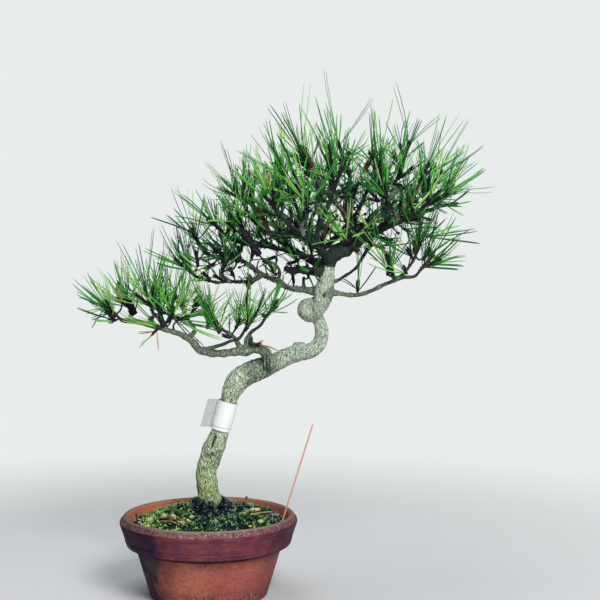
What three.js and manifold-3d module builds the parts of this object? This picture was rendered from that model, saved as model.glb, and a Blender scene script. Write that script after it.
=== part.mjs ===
// Bonsai pine in a round clay pot.
// Millimetres, +Z up, origin at the centre of the pot's foot.
// The tree leans towards +X and its front looks towards -Y.

import * as THREE from 'three';
import { mergeVertices } from 'three/addons/utils/BufferGeometryUtils.js';
import Module from 'manifold-3d';

const wasm = await Module();
wasm.setup();

// ---------------------------------------------------------------- driving sizes

const GAP = 0.3;

const POT = {
  rimRadius: 75, crestRadius: 71, rimHeight: 68, ridgeHeight: 62.8,
  bandFoot: 43.5, bandFootRadius: 69.5, bodyRadius: 62.5, footRadius: 49.5,
  wallInside: 66.5, lipFoot: 63, bodyInside: 57, floor: 6.5, floorRise: 3, floorRadius: 44,
  edge: 1.5, sides: 32,
};
const DRAIN = {
  holeRadius: 5.5, holeCircle: 17, holes: 3,
  screenRadius: 30, screenThick: 1.2, mesh: 8, bar: 3, turn: 0.2,
};
// The moss is a mound that falls off at the wall, with a slope to the front and a dip at the left.
const GROUND = { moundRadius: 50, slope: 0.033, dip: 2.5, dipX: -62, dipWidth: 18, steps: [26, 45] };
const SOIL = { edgeHeight: 52.5, crownHeight: 64.5, trunkHole: 13.2, holeFloor: 39.7, edge: 2 };
const MOSS = { edgeHeight: 60, crownHeight: 71.5, relief: 0.8, wave: 3.4, rings: 5 };
const LABEL = {
  innerRadius: 8, wall: 0.6, height: 24.5, tail: 8.5, tailHalf: 0.45, fold: 0.5,
  tilt: 15, swing: -8, at: [12.9, 0, 150.4],
};
const STICK = { radius: 0.7, foot: [59.2, -2, 52], tip: [88, -3, 143.5] };
const PEG = { radius: 0.8, foot: [-58.8, -4, 52], tip: [-61.4, -4, 68.5] };

// Room round a rod, a stone and the straw, and between filling and wall, as multiples of the gap.
const ROOM = { rod: 1.4, stone: 1.3, straw: 1.4, wall: 1.5, moss: 1.4 };

// The foot of the trunk: where it swells into roots, and the long ribs of its bark.
const ROOTS = { height: 69, spread: 9, buried: 60, count: 4, swell: 0.09, turn: 0.7 };
const RIBS = [{ count: 3, twist: 0.35, swell: 0.03 }, { count: 5, twist: -0.21, swell: 0.02 }];

const TWIG = { leave: 0.35, follow: 0.14, arrive: 0.3, thickest: 1.8, taper: 0.95 };
const SHOOT = {
  radius: 1.4, neck: 1.25, taper: 0.1, share: 0.27, sides: 5, bareShare: 0.36, bud: 4,
  forkStart: 1.2, forkStep: 1.6, forkLean: 0.85, forkLift: 0.25, forkRadius: 0.75,
};
const NEEDLE = {
  radius: 0.75, knee: 0.5, lift: 0.14, clearance: 1.35, tries: 18, shortest: 0.84,
  swing: 0.09, wobble: 6, steepest: 10, rootShare: 0.12,
};

// ---------------------------------------------------------------- the tree

// Every branch is a list of hand-placed points [x, y, z, radius].
const BRANCHES = {
  trunk: [
    [1.5, 0, 40, 7], [1.5, 0, 58, 9.6], [1.2, 0, 67, 10.6], [1, 0, 74, 10], [-0.5, 1, 84, 9],
    [-2.2, 2, 95, 9.1], [-2, 2, 105, 8.6], [1.2, 1, 115, 9.3], [5.1, 0, 125.5, 8.9],
    [9.2, 0, 136, 7.6], [13, 0, 151, 7.2], [16.8, 0, 163.5, 7], [19.3, -1, 171.5, 8.2],
    [23.8, -2, 179, 9.6], [29, -3, 184, 9.4], [39, -4, 189, 9.4], [49, -4, 192.5, 8.6],
    [60, -3, 197.5, 7.6], [68, -2, 201.5, 7.4], [77, 0, 204, 7.6], [85.5, 2, 205.3, 6.6],
    [91.5, 4, 208.6, 6.3], [95, 5, 214.5, 6], [95.4, 6, 222, 5.7], [93.8, 6, 229, 5.3],
    [91.6, 5, 233.6, 5.3], [91.4, 1, 239, 6], [94.2, -1, 244.5, 7], [96.6, -2, 251, 8.3],
    [97.6, -2, 257.5, 8.6], [99.4, -2, 264.4, 6.8], [100.2, -1, 271.2, 6], [100.6, 0, 278, 6.4],
    [103.5, 0, 285, 6.6], [109, -2, 290.5, 5.6],
  ],
  burl: [
    [93, 6, 236, 5], [86.5, 7, 237.5, 6.2], [83.6, 5, 242, 6.4], [88, 2, 245, 5.4], [94, 0, 246, 4],
  ],
  topNub: [[77, 0, 203, 6], [77.3, 1, 211.5, 4.2]],
  frontKnob: [[1, -7, 121, 2.6], [0.6, -11.2, 121.4, 2.2]],
  lowLeft: [
    [50.5, -7, 190, 4], [50.3, -12, 199, 4.2], [47, -15, 206.3, 3.8], [39.5, -15, 208.3, 3.5],
    [32.9, -15, 206, 3.6], [25.3, -15, 205.4, 3.1], [8.8, -17, 204.3, 2.9], [-1.1, -18, 205.6, 2.9],
    [-7.4, -18, 208.2, 3.3], [-11.1, -18, 212.7, 3], [-17, -18, 217.4, 2.5],
    [-26.2, -17, 221.4, 2.3], [-35.5, -16, 224, 2.1], [-51, -13, 229.6, 1.8], [-71, -12, 231.3, 1.4],
    [-77, -13, 236.5, 1.4],
  ],
  lowLeftA: [
    [33, -15, 205.5, 2.3], [25.9, -15, 211.6, 1.9], [20.9, -16, 218.7, 1.7], [12, -17, 225, 1.4],
    [7, -18, 232, 1.4],
  ],
  lowLeftB: [
    [33.7, -15, 206, 2.1], [32, -12, 214, 1.9], [34, -9, 219, 1.6], [44, -6, 228, 1.4],
    [49, -3, 235, 1.4],
  ],
  lowLeftC: [
    [-4, -18, 207, 1.9], [8, -23, 211, 1.7], [17, -27, 214, 1.5], [27, -30, 218, 1.4],
    [32, -32, 225, 1.4],
  ],
  lowLeftD: [
    [-16.5, -18, 217, 1.9], [-12, -11, 221.5, 1.9], [-12.4, -4, 225.5, 1.7], [-17, 2, 230, 1.4],
    [-21, 6, 237, 1.4],
  ],
  midLeft: [
    [97.4, 0, 256, 3.1], [87.7, 3, 256, 3], [81.4, 5, 256.7, 2.6], [72.8, 7, 257.5, 2.4],
    [65, 8, 259.6, 2.3], [59.6, 8, 263.5, 2.4], [52, 8, 266.8, 2.2], [43.8, 8, 270.6, 2.1],
    [35, 12, 276.3, 1.9], [28, 15, 281, 1.8], [17.6, 17, 283.2, 1.6], [4, 18, 285.2, 1.5],
    [-5, 18, 288.5, 1.4], [-9, 18, 295, 1.4],
  ],
  midLeftLow: [
    [44.6, 8, 269.8, 1.8], [35, 4, 264.6, 1.6], [27, 2, 264, 1.5], [15, 0, 264, 1.5],
    [6, -2, 263.7, 1.4], [-2.2, -4, 265.4, 1.4], [-10, -5, 268, 1.4], [-16, -6, 273, 1.4],
  ],
  loop: [
    [58.5, 8, 264, 1.4], [59.6, 2, 272, 1.4], [57, -3, 277.4, 1.4], [52, -7, 280.6, 1.4],
    [46, -11, 283, 1.4],
  ],
  cutStub: [[80.5, 5, 257, 1.4], [80, 5, 267.5, 1.4]],
  lowRight: [
    [98, -2, 254.6, 2.8], [107, -3, 254.4, 2.2], [116, -5, 253.1, 1.9], [125.5, -8, 252.8, 1.9],
    [131.6, -10, 254.5, 1.8], [146, -13, 261, 1.7], [163, -14, 267.3, 1.5], [173, -13, 268.5, 1.4],
    [178, -12, 274, 1.4],
  ],
  lowRightUp: [[159, -14, 266, 1.4], [166, -16, 274, 1.4], [171, -19, 281, 1.4], [174, -21, 289, 1.4]],
  midRight: [
    [100, 0, 263.6, 1.9], [107, 5, 264.4, 1.6], [115, 9, 267.7, 1.4], [125, 14, 275, 1.4],
    [130, 17, 283, 1.4],
  ],
  gnarled: [
    [98, 0, 274, 3.6], [88, -3, 272.6, 3.1], [77, -5, 274.4, 3], [71, -6, 273, 2.8],
    [64, -6, 275.6, 2.5],
  ],
  right: [
    [106, -1, 287.5, 5.2], [116.8, -4, 292.5, 4.5], [125.1, -6, 297, 4], [142.8, -7, 307, 3.5],
    [161.5, -5, 316, 2.8], [177, -1, 322.5, 2.1], [191, 3, 326, 1.6], [197, 5, 333, 1.4],
  ],
  rightFront: [
    [138, -7, 304.5, 2.3], [146, -22, 308, 2], [157, -36, 313, 1.8], [171, -46, 319, 1.4],
    [178, -50, 326, 1.4],
  ],
  rightBack: [
    [124, -5, 296.5, 2.6], [133, 12, 302, 2.3], [146, 29, 309, 2], [162, 43, 319, 1.6],
    [167, 48, 327, 1.4],
  ],
  rightTop: [
    [146, -7, 309, 2.3], [149, -4, 325, 1.9], [156, 0, 342, 1.7], [162, 4, 357, 1.4],
    [165, 6, 366, 1.4],
  ],
  greyUp: [
    [119, -5, 294, 2.5], [118, -8, 306, 2.1], [116, -9, 317, 2], [107, -7, 329, 1.9],
    [97, -4, 341, 1.7], [90, -1, 352, 1.4], [86, 0, 360, 1.4],
  ],
  tallUp: [
    [111, -2, 291, 2.6], [118, 6, 307, 2.3], [120, 11, 324, 2], [121, 12, 339, 1.7],
    [120, 10, 351, 1.4], [117, 8, 360, 1.4],
  ],
  leftUp: [
    [101, 0, 278, 3.5], [86, 4, 282, 3], [73, 8, 290.5, 2.6], [60, 10, 299.5, 2.5],
    [47, 9, 309, 2.1], [38, 5, 316, 1.8], [33, 2, 323, 1.4], [29, 0, 330, 1.4],
  ],
  leftLow: [
    [75, 7, 289, 2.3], [62, -2, 291, 2], [47, -8, 294, 1.9], [32, -11, 296, 1.7],
    [19, -9, 300, 1.4], [11, -8, 307, 1.4],
  ],
  front: [
    [102, -1, 281, 3.3], [97, -16, 287, 2.8], [88, -30, 296, 2.3], [76, -42, 305, 1.9],
    [63, -49, 315, 1.6], [57, -53, 323, 1.4],
  ],
  frontUp: [
    [90, -27, 294, 1.9], [92, -34, 306, 1.8], [97, -38, 320, 1.6], [102, -37, 331, 1.4],
    [105, -38, 340, 1.4],
  ],
  back: [
    [101, 1, 279.5, 3.5], [97, 18, 287, 3], [91, 35, 298, 2.5], [84, 50, 310, 2],
    [77, 61, 321, 1.6], [74, 66, 330, 1.4],
  ],
  backLeft: [
    [93, 30, 294.5, 2.3], [76, 38, 302, 2], [58, 43, 311, 1.8], [43, 44, 319, 1.4],
    [37, 46, 327, 1.4],
  ],
  backRight: [
    [95, 24, 290, 2.3], [106, 38, 300, 2], [117, 50, 312, 1.8], [128, 58, 325, 1.4],
    [132, 62, 333, 1.4],
  ],
};

// Sides round each limb, and the distance between its rings.
const TRUNK_LIMB = { sides: 10, step: 9 };
const BRANCH_LIMB = { sides: 5, step: 14 };
const TWIG_LIMB = { sides: 4, step: 20 };

// Sprays that crown the end of a branch: [shoots, needle length].
const TIP_SPRAYS = {
  lowLeft: [3, 36], lowLeftA: [2, 44], lowLeftB: [2, 38], lowLeftC: [2, 42], lowLeftD: [2, 46],
  midLeft: [2, 48], midLeftLow: [2, 42], lowRight: [2, 44], lowRightUp: [2, 48], midRight: [1, 42],
  right: [3, 48], rightFront: [2, 46], rightBack: [2, 48], rightTop: [2, 54], greyUp: [3, 60],
  tallUp: [2, 68], leftUp: [3, 46], leftLow: [2, 46], front: [2, 48], frontUp: [2, 54],
  back: [2, 48], backLeft: [2, 48], backRight: [2, 48],
};

// Sprays on twigs of their own: [branch, place along it, foot x, y, z, lean x, y, z, shoots, length].
const SIDE_SPRAYS = [
  ['lowLeft', 0.9, -66, -4, 239, -0.35, 0.35, 0.95, 2, 46],
  ['lowLeft', 0.78, -45, -23, 240, -0.3, -0.25, 1, 3, 56],
  ['lowLeft', 0.7, -33, -7, 237, -0.15, 0.35, 0.95, 2, 52],
  ['midLeftLow', 0.45, 12, -9, 273, 0.1, -0.5, 0.85, 2, 36],
  ['midLeft', 0.8, 12, 27, 292, -0.3, 0.5, 0.8, 2, 46],
  ['lowRight', 0.72, 153, -22, 271, -0.25, -0.35, 0.9, 1, 42],
  ['leftUp', 0.72, 40, 20, 322, -0.4, 0.35, 0.85, 2, 46],
  ['leftLow', 0.55, 30, -20, 306, -0.25, -0.4, 0.9, 2, 44],
  ['leftUp', 0.5, 57, -5, 328, -0.2, -0.25, 1, 2, 50],
  ['front', 0.6, 83, -50, 322, 0.05, -0.5, 0.85, 2, 48],
  ['frontUp', 0.5, 77, -29, 338, -0.3, -0.2, 1, 2, 52],
  ['greyUp', 0.7, 66, 10, 349, -0.5, 0.15, 0.9, 2, 56],
  ['greyUp', 0.55, 104, -18, 354, -0.1, -0.15, 1, 1, 66],
  ['tallUp', 0.7, 140, 27, 354, 0.25, 0.35, 0.95, 2, 54],
  ['tallUp', 0.5, 104, 30, 354, -0.2, 0.3, 1, 2, 58],
  ['rightTop', 0.6, 144, -21, 354, 0, -0.3, 0.95, 2, 52],
  ['rightTop', 0.45, 177, -17, 347, 0.4, -0.25, 0.9, 2, 50],
  ['rightFront', 0.55, 147, -46, 328, -0.05, -0.5, 0.85, 2, 46],
  ['right', 0.75, 190, 20, 343, 0.5, 0.3, 0.85, 2, 52],
  ['rightBack', 0.55, 150, 47, 340, 0, 0.45, 0.9, 2, 50],
  ['back', 0.6, 92, 50, 338, 0.05, 0.3, 1, 2, 54],
  ['backLeft', 0.5, 60, 38, 338, -0.25, 0.15, 1, 2, 50],
];

// Two bunches of dry needles that droop from the lower branches.
const DRY_SPRAYS = [
  ['lowLeft', 0.74, -41, -21, 225, -0.6, -0.3, -0.6, 1, 20],
  ['lowLeftB', 0.35, 40, -17, 212, 0.9, -0.3, 0.1, 1, 17],
];

const PEBBLES = [
  { at: [33, 30], size: [4.4, 3, 2.2], turn: 0.4, colour: 0x77806a },
  { at: [-36.4, -12.5], size: [2.2, 2, 2.2], turn: 1.1, colour: 0xc6bf9e },
  { at: [-28.5, -19], size: [3, 2.4, 2.2], turn: 2.3, colour: 0xb2b58a },
  { at: [44.5, -20], size: [2.7, 2.3, 1.8], turn: 0.9, colour: 0xc8b878 },
];
const STONE = { uneven: 0.1, lobes: 3, raised: 0.45 };
const STRAW = { points: [[36, -14], [44.5, 7], [53, 27]], radius: 0.7, raised: 1.1, sides: 5, step: 8 };

const COLOUR = {
  pot: 0x9a4a2e, soil: 0x4a382a, moss: 0x3f5f24, bark: 0x8b9078, needles: 0x3f8a2c,
  dryNeedles: 0xb58e55, label: 0xf0f2f2, stick: 0xc98a63, peg: 0x2e2a24, screen: 0x22262a, straw: 0xc7b98a,
};

// ---------------------------------------------------------------- helpers

const vec = (x, y, z) => new THREE.Vector3(x, y, z);
const UP = vec(0, 0, 1);
const GOLDEN_ANGLE = Math.PI * (3 - Math.sqrt(5));

// A fixed pseudo-random number from 0 to 1 for each pair of whole numbers.
function draw(i, j) {
  const value = Math.sin(i * 12.9898 + j * 78.233) * 43758.5453;
  return value - Math.floor(value);
}

function toSolid(geometry) {
  const bare = geometry.clone();
  bare.deleteAttribute('normal');
  bare.deleteAttribute('uv');
  const merged = mergeVertices(bare, 1e-4);
  const mesh = new wasm.Mesh({
    numProp: 3,
    vertProperties: new Float32Array(merged.attributes.position.array),
    triVerts: new Uint32Array(merged.index.array),
  });
  return new wasm.Manifold(mesh);
}

function toGeometry(solid) {
  const mesh = solid.getMesh();
  const geometry = new THREE.BufferGeometry();
  geometry.setAttribute('position', new THREE.BufferAttribute(new Float32Array(mesh.vertProperties), 3));
  geometry.setIndex(new THREE.BufferAttribute(new Uint32Array(mesh.triVerts), 1));
  geometry.computeVertexNormals();
  return geometry;
}

function joined(geometries) {
  let solid = toSolid(geometries[0]);
  for (const geometry of geometries.slice(1)) {
    solid = solid.add(toSolid(geometry));
  }
  return solid;
}

// A closed skin over rings of points, with a point in the middle of each end.
function skin(rings, startPoint, endPoint) {
  const sides = rings[0].length;
  const vertices = rings.flat().concat([startPoint, endPoint]);
  const start = vertices.length - 2;
  const end = vertices.length - 1;
  const last = (rings.length - 1) * sides;
  const faces = [];
  for (let side = 0; side < sides; side++) {
    const next = (side + 1) % sides;
    faces.push(start, next, side);
    faces.push(end, last + side, last + next);
    for (let ring = 0; ring < rings.length - 1; ring++) {
      const low = ring * sides;
      const high = low + sides;
      faces.push(low + side, low + next, high + next);
      faces.push(low + side, high + next, high + side);
    }
  }
  const geometry = new THREE.BufferGeometry();
  const values = vertices.flatMap((point) => point.toArray());
  geometry.setAttribute('position', new THREE.Float32BufferAttribute(values, 3));
  geometry.setIndex(faces);
  return geometry;
}

function branchCurve(points) {
  return new THREE.CatmullRomCurve3(points.map((p) => vec(p[0], p[1], p[2])), false, 'centripetal');
}

function radiusAlong(points, t) {
  const place = t * (points.length - 1);
  const before = Math.min(Math.floor(place), points.length - 2);
  return THREE.MathUtils.lerp(points[before][3], points[before + 1][3], place - before);
}

// A tapered limb along hand-placed points. The shape gives the swell of the bark at an angle.
function limb(points, { sides, step }, shape = () => 1, dome = 0.35) {
  const curve = branchCurve(points);
  const count = Math.max(3, Math.round(curve.getLength() / step) + 1);
  const rings = [];
  let tangent = curve.getTangent(0);
  let across = Math.abs(tangent.z) > 0.8 ? vec(1, 0, 0) : vec(0, 0, 1);
  let middle = null;
  for (let i = 0; i < count; i++) {
    const t = curve.getUtoTmapping(i / (count - 1));
    middle = curve.getPoint(t);
    tangent = curve.getTangent(t);
    across = across.addScaledVector(tangent, -across.dot(tangent)).normalize();
    const along = tangent.clone().cross(across);
    const ring = [];
    for (let side = 0; side < sides; side++) {
      const angle = (side / sides) * 2 * Math.PI;
      const radius = radiusAlong(points, t) * shape(angle, middle);
      ring.push(middle.clone()
        .addScaledVector(across, radius * Math.cos(angle))
        .addScaledVector(along, radius * Math.sin(angle)));
    }
    rings.push(ring);
  }
  const endPoint = middle.clone().addScaledVector(tangent, dome * points.at(-1)[3]);
  return skin(rings, curve.getPoint(0), endPoint);
}

// ---------------------------------------------------------------- pot and filling

function lathe(profile, sides = POT.sides) {
  const geometry = new THREE.LatheGeometry(profile.map(([r, z]) => new THREE.Vector2(r, z)), sides);
  return geometry.rotateX(Math.PI / 2);
}

function makePot() {
  const p = POT;
  const { edge } = p;
  let pot = toSolid(lathe([
    [0, 0], [p.footRadius - edge, 0], [p.footRadius, edge], [p.bodyRadius, p.bandFoot],
    [p.bandFootRadius, p.bandFoot], [p.rimRadius - edge, p.ridgeHeight - 2 * edge],
    [p.rimRadius, p.ridgeHeight], [p.crestRadius + edge, p.rimHeight - edge / 2],
    [p.crestRadius - edge, p.rimHeight],
    [p.wallInside + edge, p.rimHeight - edge], [p.wallInside, p.lipFoot], [p.bodyInside, p.bandFoot],
    [p.floorRadius + edge, p.floor + p.floorRise], [p.floorRadius - edge, p.floor], [0, p.floor],
  ]));
  for (let hole = 0; hole < DRAIN.holes; hole++) {
    const angle = Math.PI / 2 + (hole * 2 * Math.PI) / DRAIN.holes;
    const cutter = new THREE.CylinderGeometry(DRAIN.holeRadius, DRAIN.holeRadius, p.floor * 4, 10);
    cutter.rotateX(Math.PI / 2);
    cutter.translate(DRAIN.holeCircle * Math.cos(angle), DRAIN.holeCircle * Math.sin(angle), 0);
    pot = pot.subtract(toSolid(cutter));
  }
  return toGeometry(pot);
}

function makeDrainScreen() {
  const centre = new THREE.Vector2();
  const corner = (x, y, turn) => new THREE.Vector2(x, y).rotateAround(centre, turn);
  const rim = Array.from({ length: 24 }, (_, i) => corner(DRAIN.screenRadius, 0, (i * Math.PI) / 12));
  const disc = new THREE.Shape(rim);
  const pitch = DRAIN.mesh + DRAIN.bar;
  const half = DRAIN.mesh / 2;
  for (let row = -1; row <= 1; row++) {
    for (let column = -1; column <= 1; column++) {
      const x = column * pitch;
      const y = row * pitch;
      const square = [[-half, -half], [-half, half], [half, half], [half, -half]];
      disc.holes.push(new THREE.Path(square.map(([u, v]) => corner(x + u, y + v, DRAIN.turn))));
    }
  }
  const screen = new THREE.ExtrudeGeometry(disc, { depth: DRAIN.screenThick, bevelEnabled: false });
  return screen.translate(0, 0, POT.floor + GAP);
}

// Height of the mounded surface at a distance from the pot's axis.
function moundHeight(radius, { edgeHeight, crownHeight }) {
  return edgeHeight + (crownHeight - edgeHeight) * Math.exp(-((radius / GROUND.moundRadius) ** 4));
}

// Radius of the filling at a height, just clear of the pot's inner wall.
function wallRadius(z) {
  const { lerp } = THREE.MathUtils;
  const { floor, floorRise, floorRadius, edge, bandFoot, bodyInside, lipFoot, wallInside } = POT;
  const clear = GAP * ROOM.wall;
  if (z < bandFoot) {
    const low = floor + floorRise;
    return lerp(floorRadius + edge, bodyInside, (z - low) / (bandFoot - low)) - clear;
  }
  return lerp(bodyInside, wallInside, Math.min(1, (z - bandFoot) / (lipFoot - bandFoot))) - clear;
}

// A straight round rod. Swollen, it is the hole that the rod stands in with a little room.
function rodGeometry({ foot, tip, radius }, swell = 0) {
  const start = vec(...foot);
  const heading = vec(...tip).sub(start).normalize();
  start.addScaledVector(heading, -swell);
  const length = start.distanceTo(vec(...tip));
  const rod = new THREE.CylinderGeometry(radius + swell, radius + swell, length, 8);
  rod.rotateX(Math.PI / 2);
  rod.applyQuaternion(new THREE.Quaternion().setFromUnitVectors(UP, heading));
  return rod.translate(...start.addScaledVector(heading, length / 2).toArray());
}

function cutRodHoles(solid) {
  return [STICK, PEG].reduce((rest, rod) => rest.subtract(toSolid(rodGeometry(rod, GAP * ROOM.rod))), solid);
}

function makeSoil() {
  const bottom = POT.floor + GAP * 2 + DRAIN.screenThick;
  const foot = wallRadius(bottom + SOIL.edge);
  const top = SOIL.edgeHeight;
  const ground = [...GROUND.steps].reverse().map((radius) => [radius, moundHeight(radius, SOIL)]);
  return toGeometry(cutRodHoles(toSolid(lathe([
    [0, bottom], [foot - 2 * SOIL.edge, bottom], [foot, bottom + SOIL.edge],
    [wallRadius(POT.bandFoot), POT.bandFoot], [wallRadius(top), top], ...ground,
    [SOIL.trunkHole, moundHeight(SOIL.trunkHole, SOIL)],
    [SOIL.trunkHole, SOIL.holeFloor], [0, SOIL.holeFloor],
  ]))));
}

function mossHeight(x, y) {
  const { wave, relief } = MOSS;
  const cushions = Math.sin(x / wave) * Math.cos(y / wave) + 0.7 * Math.sin((x - y) / (2 * wave));
  const dip = GROUND.dip * Math.exp(-(((x - GROUND.dipX) / GROUND.dipWidth) ** 2));
  return moundHeight(Math.hypot(x, y), MOSS) + GROUND.slope * y - dip + relief * cushions;
}

// The moss as a closed ring of skin: over its top from the wall to the trunk, and back underneath.
function makeMoss() {
  const rings = [];
  for (let ring = 0; ring <= MOSS.rings; ring++) {
    const radius = THREE.MathUtils.lerp(POT.wallInside, SOIL.trunkHole, ring / MOSS.rings);
    rings.push({ radius, height: mossHeight });
  }
  const under = (x, y) => moundHeight(Math.hypot(x, y), SOIL) + GAP * ROOM.moss;
  for (const radius of [SOIL.trunkHole, ...GROUND.steps, wallRadius(SOIL.edgeHeight)]) {
    rings.push({ radius, height: under });
  }
  const { sides } = POT;
  const vertices = [];
  const faces = [];
  rings.forEach(({ radius, height }, ring) => {
    const low = ring * sides;
    const high = ((ring + 1) % rings.length) * sides;
    for (let side = 0; side < sides; side++) {
      const angle = (side / sides) * 2 * Math.PI;
      const x = radius * Math.cos(angle);
      const y = radius * Math.sin(angle);
      const z = height(x, y);
      const trim = Math.min(1, wallRadius(z) / radius);
      const next = (side + 1) % sides;
      vertices.push(x * trim, y * trim, z);
      faces.push(low + side, low + next, high + next);
      faces.push(low + side, high + next, high + side);
    }
  });
  const geometry = new THREE.BufferGeometry();
  geometry.setAttribute('position', new THREE.Float32BufferAttribute(vertices, 3));
  geometry.setIndex(faces);
  let moss = cutRodHoles(toSolid(geometry));
  for (const pebble of PEBBLES) {
    moss = moss.subtract(toSolid(pebbleGeometry(pebble, GAP * ROOM.stone)));
  }
  return toGeometry(moss.subtract(toSolid(strawGeometry(GAP * ROOM.straw))));
}

function pebbleGeometry({ at, size, turn }, swell = 0) {
  const stone = new THREE.IcosahedronGeometry(1, 1);
  const position = stone.attributes.position;
  const { uneven, lobes, raised } = STONE;
  for (let i = 0; i < position.count; i++) {
    const point = vec(position.getX(i), position.getY(i), position.getZ(i));
    const bumps = Math.sin(lobes * point.x + turn) * Math.cos(lobes * (point.y + point.z));
    position.setXYZ(i, ...point.multiplyScalar(1 + uneven * bumps).toArray());
  }
  stone.scale(size[0] + swell, size[1] + swell, size[2] + swell);
  stone.rotateZ(turn);
  return stone.translate(at[0], at[1], mossHeight(at[0], at[1]) + size[2] * raised);
}

function strawGeometry(swell = 0) {
  const points = STRAW.points.map(([x, y]) => [x, y, mossHeight(x, y) + STRAW.raised, STRAW.radius + swell]);
  return limb(points, STRAW, () => 1, 0);
}

// ---------------------------------------------------------------- small things

// A strip round the trunk with a loose end, which hangs level on the leaning trunk.
function makeLabel() {
  const { innerRadius, wall, tail, tailHalf, fold, height, swing, at } = LABEL;
  const outer = innerRadius + wall;
  const tilt = THREE.MathUtils.degToRad(LABEL.tilt);
  const mouth = Math.asin(tailHalf / outer);
  const outline = new THREE.Shape();
  outline.absarc(0, 0, outer, -Math.PI + mouth, Math.PI - mouth, false);
  outline.lineTo(-outer - tail / 2, tailHalf + fold);
  outline.lineTo(-outer - tail, tailHalf);
  outline.lineTo(-outer - tail, -tailHalf);
  outline.lineTo(-outer - tail / 2, -tailHalf + fold);
  outline.holes.push(new THREE.Path().absarc(0, 0, innerRadius, 0, 2 * Math.PI, true));
  const strip = new THREE.ExtrudeGeometry(outline, { depth: height, bevelEnabled: false, curveSegments: 9 });
  strip.translate(0, 0, -height / 2);
  const position = strip.attributes.position;
  for (let i = 0; i < position.count; i++) {
    const beyond = Math.max(0, -outer - position.getX(i));
    position.setZ(i, position.getZ(i) - beyond * Math.tan(tilt));
  }
  strip.computeVertexNormals();
  strip.rotateZ(THREE.MathUtils.degToRad(swing));
  strip.rotateY(tilt);
  return strip.translate(...at);
}

// ---------------------------------------------------------------- wood

// The foot of the trunk swells into roots just above the moss.
function rootFlare(angle, { z }) {
  if (z < ROOTS.buried) {
    return 1;
  }
  const nearSoil = Math.exp(-(((z - ROOTS.height) / ROOTS.spread) ** 2));
  const flare = 1 + ROOTS.swell * nearSoil * Math.cos(angle * ROOTS.count + ROOTS.turn);
  return RIBS.reduce((swell, rib) => swell + rib.swell * Math.sin(angle * rib.count + z * rib.twist), flare);
}

// A twig leaves its branch and bends round to arrive straight at the foot of a spray.
function twigPoints([branch, place, x, y, z, leanX, leanY, leanZ]) {
  const points = BRANCHES[branch];
  const curve = branchCurve(points);
  const t = curve.getUtoTmapping(place);
  const from = curve.getPoint(t);
  const foot = vec(x, y, z);
  const reach = from.distanceTo(foot);
  const lean = vec(leanX, leanY, leanZ).normalize();
  const along = curve.getTangent(t);
  const leaving = from.clone().lerp(foot, TWIG.leave).addScaledVector(along, reach * TWIG.follow);
  const arriving = foot.clone().addScaledVector(lean, -reach * TWIG.arrive);
  const thick = Math.min(radiusAlong(points, t), TWIG.thickest);
  return [
    [...from.toArray(), thick], [...leaving.toArray(), thick * TWIG.taper],
    [...arriving.toArray(), SHOOT.radius], [...foot.toArray(), SHOOT.radius],
  ];
}

// Each spray stands on the end of its branch or twig and goes on in that direction.
function sprayOn(points, shoots, reach) {
  const curve = branchCurve(points);
  return { foot: curve.getPoint(1), axis: curve.getTangent(1), shoots, reach };
}

const TWIGS = [...SIDE_SPRAYS, ...DRY_SPRAYS].map(twigPoints);

function makeTree() {
  const limbs = Object.entries(BRANCHES).map(([name, points]) => {
    if (name === 'trunk') {
      return limb(points, TRUNK_LIMB, rootFlare);
    }
    return limb(points, BRANCH_LIMB, () => 1, name in TIP_SPRAYS ? 0 : 0.35);
  });
  const twigs = TWIGS.map((points) => limb(points, TWIG_LIMB, () => 1, 0));
  return toGeometry(joined([...limbs, ...twigs]));
}

// ---------------------------------------------------------------- sprays of needles

// The shoots of a spray: the first goes straight on, the others fork from its foot.
function shootsOf({ foot, axis, shoots, reach, dry }, index) {
  const side = vec(axis.y, -axis.x, 0).normalize();
  const radius = SHOOT.radius * (dry ? 0.85 : 1);
  return Array.from({ length: shoots }, (_, k) => {
    const isFirst = k === 0;
    const turn = GOLDEN_ANGLE * index + k * Math.PI + draw(index, k);
    const out = side.clone().applyAxisAngle(axis, turn);
    const fork = foot.clone().addScaledVector(axis, isFirst ? GAP : SHOOT.forkStart + SHOOT.forkStep * k);
    const heading = axis.clone();
    if (!isFirst) {
      heading.addScaledVector(out, SHOOT.forkLean).addScaledVector(UP, SHOOT.forkLift).normalize();
    }
    const length = SHOOT.share * reach * (isFirst ? 1.1 : 0.95) * (0.9 + 0.2 * draw(index, k + 20));
    return { fork, heading, length, radius: radius * (isFirst ? 1 : SHOOT.forkRadius), turn };
  });
}

// Rings of a shoot, each turned by half a side against the one below, and its bud.
function shootRings(shoot) {
  const { fork, heading, length } = shoot;
  const across = vec(heading.y, -heading.x, 0.001).normalize().applyAxisAngle(heading, shoot.turn);
  const along = heading.clone().cross(across);
  const neck = (SHOOT.neck / SHOOT.radius) * shoot.radius;
  const shares = [0, SHOOT.bareShare, (1 + SHOOT.bareShare) / 2, 1];
  const rings = shares.map((share, ring) => Array.from({ length: SHOOT.sides }, (_, side) => {
    const angle = ((side + ring / 2) / SHOOT.sides) * 2 * Math.PI;
    const radius = ring === 0 ? shoot.radius : neck * (1 + SHOOT.taper * (1 - ring));
    return fork.clone()
      .addScaledVector(heading, share * length)
      .addScaledVector(across, radius * Math.cos(angle))
      .addScaledVector(along, radius * Math.sin(angle));
  }));
  return { rings, bud: fork.clone().addScaledVector(heading, length + SHOOT.bud) };
}

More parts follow.
